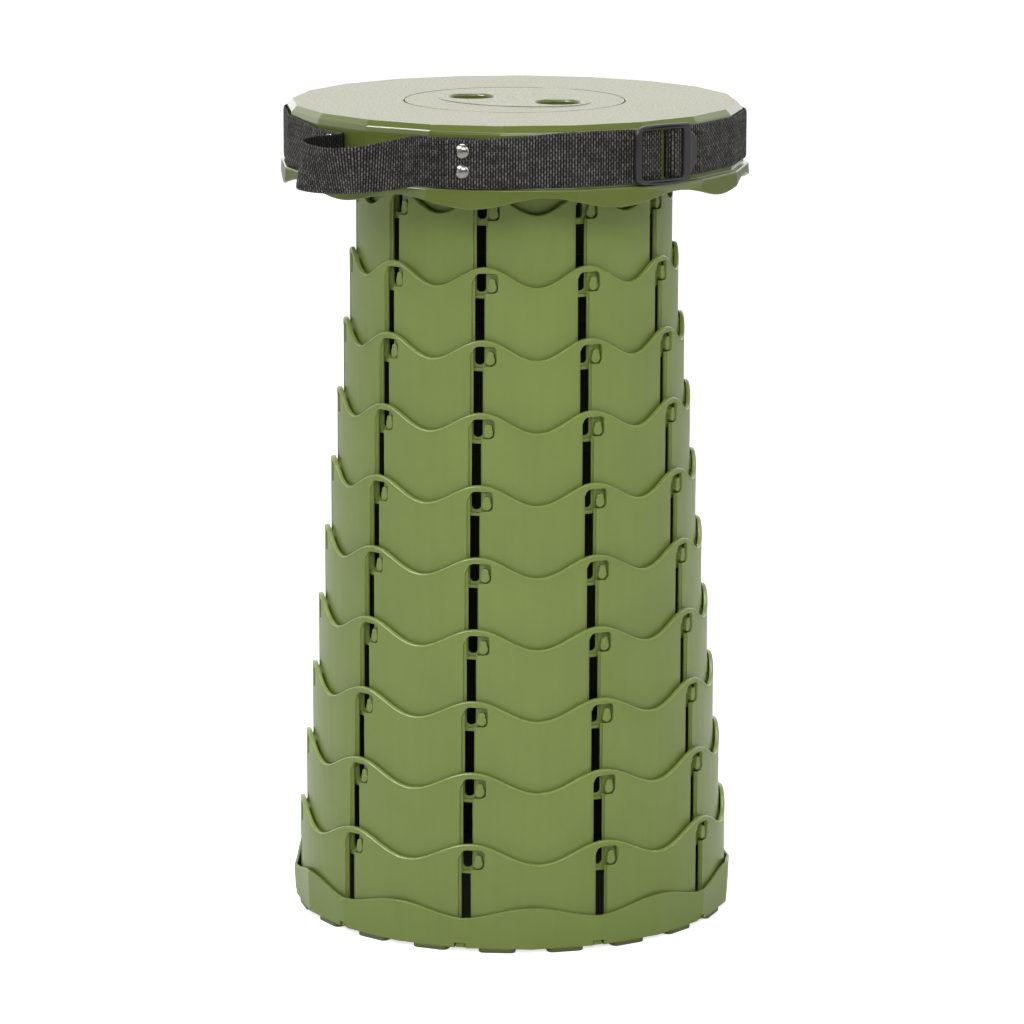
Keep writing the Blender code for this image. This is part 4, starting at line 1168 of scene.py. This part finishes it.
def webbing_material():
    """Black webbing: a short pale dash on each rib, in rows that step from rib to rib. The dashes follow
    the weave; their paleness is a painted sheen on the rib crowns, and the black between them is partly
    painted shade.
    """
    shader = Shader(bpy.data.materials.new("black_webbing"))

    def hump(value):
        """Nothing at whole numbers and one halfway between them."""
        return shader.math('ABSOLUTE', shader.math('SINE', shader.product(value, pi)))

    strap = shader.node("ShaderNodeAttribute", attribute_name="strap").outputs["Vector"]
    length, width, face = shader.node("ShaderNodeSeparateXYZ", {0: strap}).outputs
    along = shader.math('DIVIDE', length, WEAVE_PITCH)
    rib = shader.math('FLOOR', along)
    odd = shader.product(shader.math('MODULO', rib, 2.0), 0.5)
    across = shader.math('ADD', shader.math('DIVIDE', width, WEAVE_ROW), odd)
    dash = shader.math('POWER', hump(across), 0.5)
    weave = shader.product(dash, shader.math('POWER', hump(along), 2.2))
    stitch = shader.node("ShaderNodeCombineXYZ", {0: rib, 1: shader.math('FLOOR', across)}).outputs[0]
    chance = shader.node("ShaderNodeTexWhiteNoise", {"Vector": stitch}, noise_dimensions='2D').outputs[0]
    yarn = shader.noise(shader.stretched(strap, (60.0, 700.0, 1.0)), 1.0, 2.0)
    fuzz = shader.noise(shader.place(), 2200.0, 3.0)
    # Painted sheen and shade of the weave, with random tone from the stitches, the yarn and the fuzz; the
    # side that is not the face is dimmed as painted shade.
    sheen_shade_and_tone = shader.product(
        weave, shader.remap(chance, 0.0, 1.0, 0.50, 1.0), shader.remap(face, 0.0, 1.0, 0.35, 1.0),
        shader.remap(yarn, 0.3, 0.7, 0.55, 1.15), shader.remap(fuzz, 0.35, 0.7, 0.55, 1.15))
    return shader.finish({
        "Base Color": shader.ramp(sheen_shade_and_tone, ((0.08, WEBBING_DARK), (0.90, WEBBING_SHEEN))),
        "Roughness": 0.60,
        "Specular IOR Level": 0.15,
        "Normal": shader.bump(shader.math('ADD', weave, shader.product(fuzz, 0.4)), 0.7),
    })


def buckle_material():
    shader = Shader(bpy.data.materials.new("black_moulded"))
    place = shader.place()
    cloud = shader.noise(place, 120.0)
    return shader.finish({
        "Base Color": shader.ramp(cloud, ((0.3, (0.013, 0.013, 0.014)), (0.7, (0.019, 0.019, 0.020)))),
        "Roughness": shader.remap(cloud, 0.3, 0.7, 0.30, 0.42),
        "Normal": shader.bump(shader.noise(place, 1800.0, 2.0), 0.08, 0.0002),
    })


def rivet_material():
    shader = Shader(bpy.data.materials.new("plated_rivet"))
    cloud = shader.noise(shader.place(), 500.0)
    return shader.finish({
        "Metallic": 1.0,
        "Base Color": shader.ramp(cloud, ((0.3, (0.26, 0.25, 0.23)), (0.7, (0.33, 0.32, 0.30)))),
        "Roughness": shader.remap(cloud, 0.3, 0.7, 0.16, 0.26),
    })


# The object

GREEN = (0.190, 0.250, 0.060)
SIDE_GREEN = (0.124, 0.160, 0.033)
# The top's colour is paler and greyer than the sides': partly its matte grained finish, partly a painted
# sheen for light from above and the bright sky it mirrors.
TOP_SHEEN_GREEN = (0.225, 0.230, 0.145)
ring_plastic = moulded_plastic("olive_rings", GREEN, 0.36, speckle=0.07, specular=0.35)
# Painted shade: a nearly black copy of the olive plastic for the inward faces and the cup's floor, which
# show dark through the slots.
painted_shade_inside = moulded_plastic("olive_inside_painted_shade", scaled(GREEN, 0.10), 0.60)
# Painted shade: a darker copy of the olive plastic for the feet, which stand in the shadow under the cup's
# wall.
feet_painted_shade = moulded_plastic("olive_feet_painted_shade", scaled(GREEN, 0.45), 0.40)
# Painted highlight: a lighter copy of the olive plastic for the rims' upward faces, where light from above
# falls.
rim_painted_highlight = moulded_plastic("olive_rims_painted_highlight", scaled(GREEN, 1.45), 0.26)
side_plastic = moulded_plastic("olive_gloss", SIDE_GREEN, 0.12, grain=0.01, scale=500.0, speckle=0.03)
# The paler top: partly its grained finish, partly painted sheen.
top_painted_sheen = moulded_plastic("olive_grained_painted_sheen", TOP_SHEEN_GREEN, 0.42, grain=0.60, scale=700.0, speckle=0.70,
                              specular=0.8, fine_share=0.75)
webbing = webbing_material()
black_plastic = buckle_material()
plated = rivet_material()

make_base([ring_plastic, painted_shade_inside, feet_painted_shade])
for index in range(RING_COUNT, 0, -1):
    make_ring(index, [ring_plastic, painted_shade_inside, rim_painted_highlight])
make_collar([ring_plastic, painted_shade_inside])
make_seat([side_plastic, top_painted_sheen])
make_cap([side_plastic, top_painted_sheen])
make_strap("belt_front_webbing", "belt_front", belt_front_route(), webbing)
make_strap("belt_back_webbing", "belt_back", belt_back_route(), webbing)
# The handle's face is -1, its side away from the seat; its other side, inside the loop, gets painted shade.
make_strap("handle_webbing", "carry_handle", handle_route(), webbing, -1)
make_buckle(black_plastic)
for row, azimuth in (("front", FRONT_RIVET_AZIMUTH), ("side", SIDE_RIVET_AZIMUTH)):
    for place, side in (("upper", 1), ("lower", -1)):
        height = BELT_MIDDLE + RIVET_RAISE + side * RIVET_SPACING / 2
        make_rivet(f"rivet_{row}_{place}", azimuth, height, plated)


# Stage, light and camera

WHITE = (1.0, 1.0, 1.0, 1.0)
FLOOR_RADIUS = 8.0
FLOOR_GLOW = 0.75
WORLD_LIGHT = 0.30
GLOSS_SCALE = 2.0
# (upward share of the direction, brightness)
FRONT_GLOSS = ((0.0, 0.05), (0.42, 0.05), (0.54, 0.60), (0.68, 0.60), (0.82, 0.08), (1.0, 0.08))
SIDE_GLOSS = ((0.0, 0.80), (0.55, 0.70), (0.85, 0.12), (1.0, 0.12))


def make_floor():
    """A pale floor that shows white, and still takes the stool's shadow."""
    bm = bmesh.new()
    bmesh.ops.create_circle(bm, cap_ends=True, segments=64, radius=FLOOR_RADIUS)
    obj = link("floor", mesh_from("floor", bm))
    shader = Shader(bpy.data.materials.new("pale_floor"))
    seen = shader.node("ShaderNodeLightPath").outputs["Is Camera Ray"]
    obj.data.materials.append(shader.finish({
        "Base Color": (0.90, 0.90, 0.90, 1.0),
        "Roughness": 0.9,
        "Specular IOR Level": 0.1,
        "Emission Color": WHITE,
        "Emission Strength": shader.product(seen, FLOOR_GLOW),
    }))


def make_world():
    """White for the camera, soft for lighting, and a studio's lights and darks for reflections."""
    world = bpy.data.worlds.new("studio")
    bpy.context.scene.world = world
    studio = Shader(world)
    studio.tree.nodes.clear()
    path = studio.node("ShaderNodeLightPath").outputs
    direction = studio.node("ShaderNodeTexCoord").outputs["Generated"]
    parts = studio.node("ShaderNodeSeparateXYZ", {0: direction}).outputs

    def gloss(stops):
        greys = [(place, (value, value, value)) for place, value in stops]
        return studio.product(studio.ramp(parts["Z"], greys, 'EASE'), GLOSS_SCALE)

    def blend(factor, low, high):
        return studio.node("ShaderNodeMix", {0: factor, 2: low, 3: high}).outputs[0]

    aside = studio.remap(parts["Y"], -0.85, -0.30, 0.0, 1.0, interpolation_type='SMOOTHSTEP')
    glossy = blend(aside, gloss(FRONT_GLOSS), gloss(SIDE_GLOSS))
    shiny = studio.math('MAXIMUM', path["Is Glossy Ray"], path["Is Transmission Ray"])
    strength = blend(path["Is Camera Ray"], blend(shiny, WORLD_LIGHT, glossy), 1.0)
    background = studio.node("ShaderNodeBackground", {"Color": WHITE, "Strength": strength})
    studio.node("ShaderNodeOutputWorld", {"Surface": background.outputs[0]})


def make_lamp(name, place, size, power, target=(0, 0, 0.25), lights=True):
    """A soft box of (width, height); one that lights nothing only shows in shiny surfaces."""
    lamp = bpy.data.lights.new(name, 'AREA')
    lamp.shape = 'RECTANGLE'
    lamp.size, lamp.size_y = size
    lamp.energy = power
    obj = link(name, lamp)
    obj.location = place
    aim = Vector(target) - Vector(place)
    obj.rotation_euler = aim.to_track_quat('-Z', 'Y').to_euler()
    obj.visible_diffuse = lights


def make_camera():
    camera = bpy.data.cameras.new("camera")
    camera.lens = CAMERA_LENS
    camera.sensor_width = 36.0
    camera.clip_start = 0.05
    obj = link("camera", camera)
    turn = Matrix()
    for angle, axis in ((CAMERA_PAN, 'Z'), (90 - CAMERA_PITCH, 'X'), (CAMERA_ROLL, 'Z')):
        turn = turn @ Matrix.Rotation(radians(angle), 4, axis)
    obj.matrix_world = Matrix.Translation(CAMERA_PLACE) @ turn
    bpy.context.scene.camera = obj


make_floor()
make_world()
make_lamp("key", place=(-1.7, -1.2, 2.0), size=(0.8, 0.8), power=9)
make_lamp("fill", place=(1.6, -1.4, 1.7), size=(1.0, 1.0), power=8)
make_lamp("boom", place=(-0.1, -2.3, 1.4), size=(1.8, 0.6), power=22)
make_lamp("top", place=(-0.2, 0.5, 2.4), size=(1.6, 0.8), power=38)
make_lamp("card", place=(-1.75, -1.25, 2.0), size=(1.5, 0.9), power=70, target=(0, 0, 0.44), lights=False)
make_camera()
bpy.context.scene.view_settings.view_transform = 'Standard'
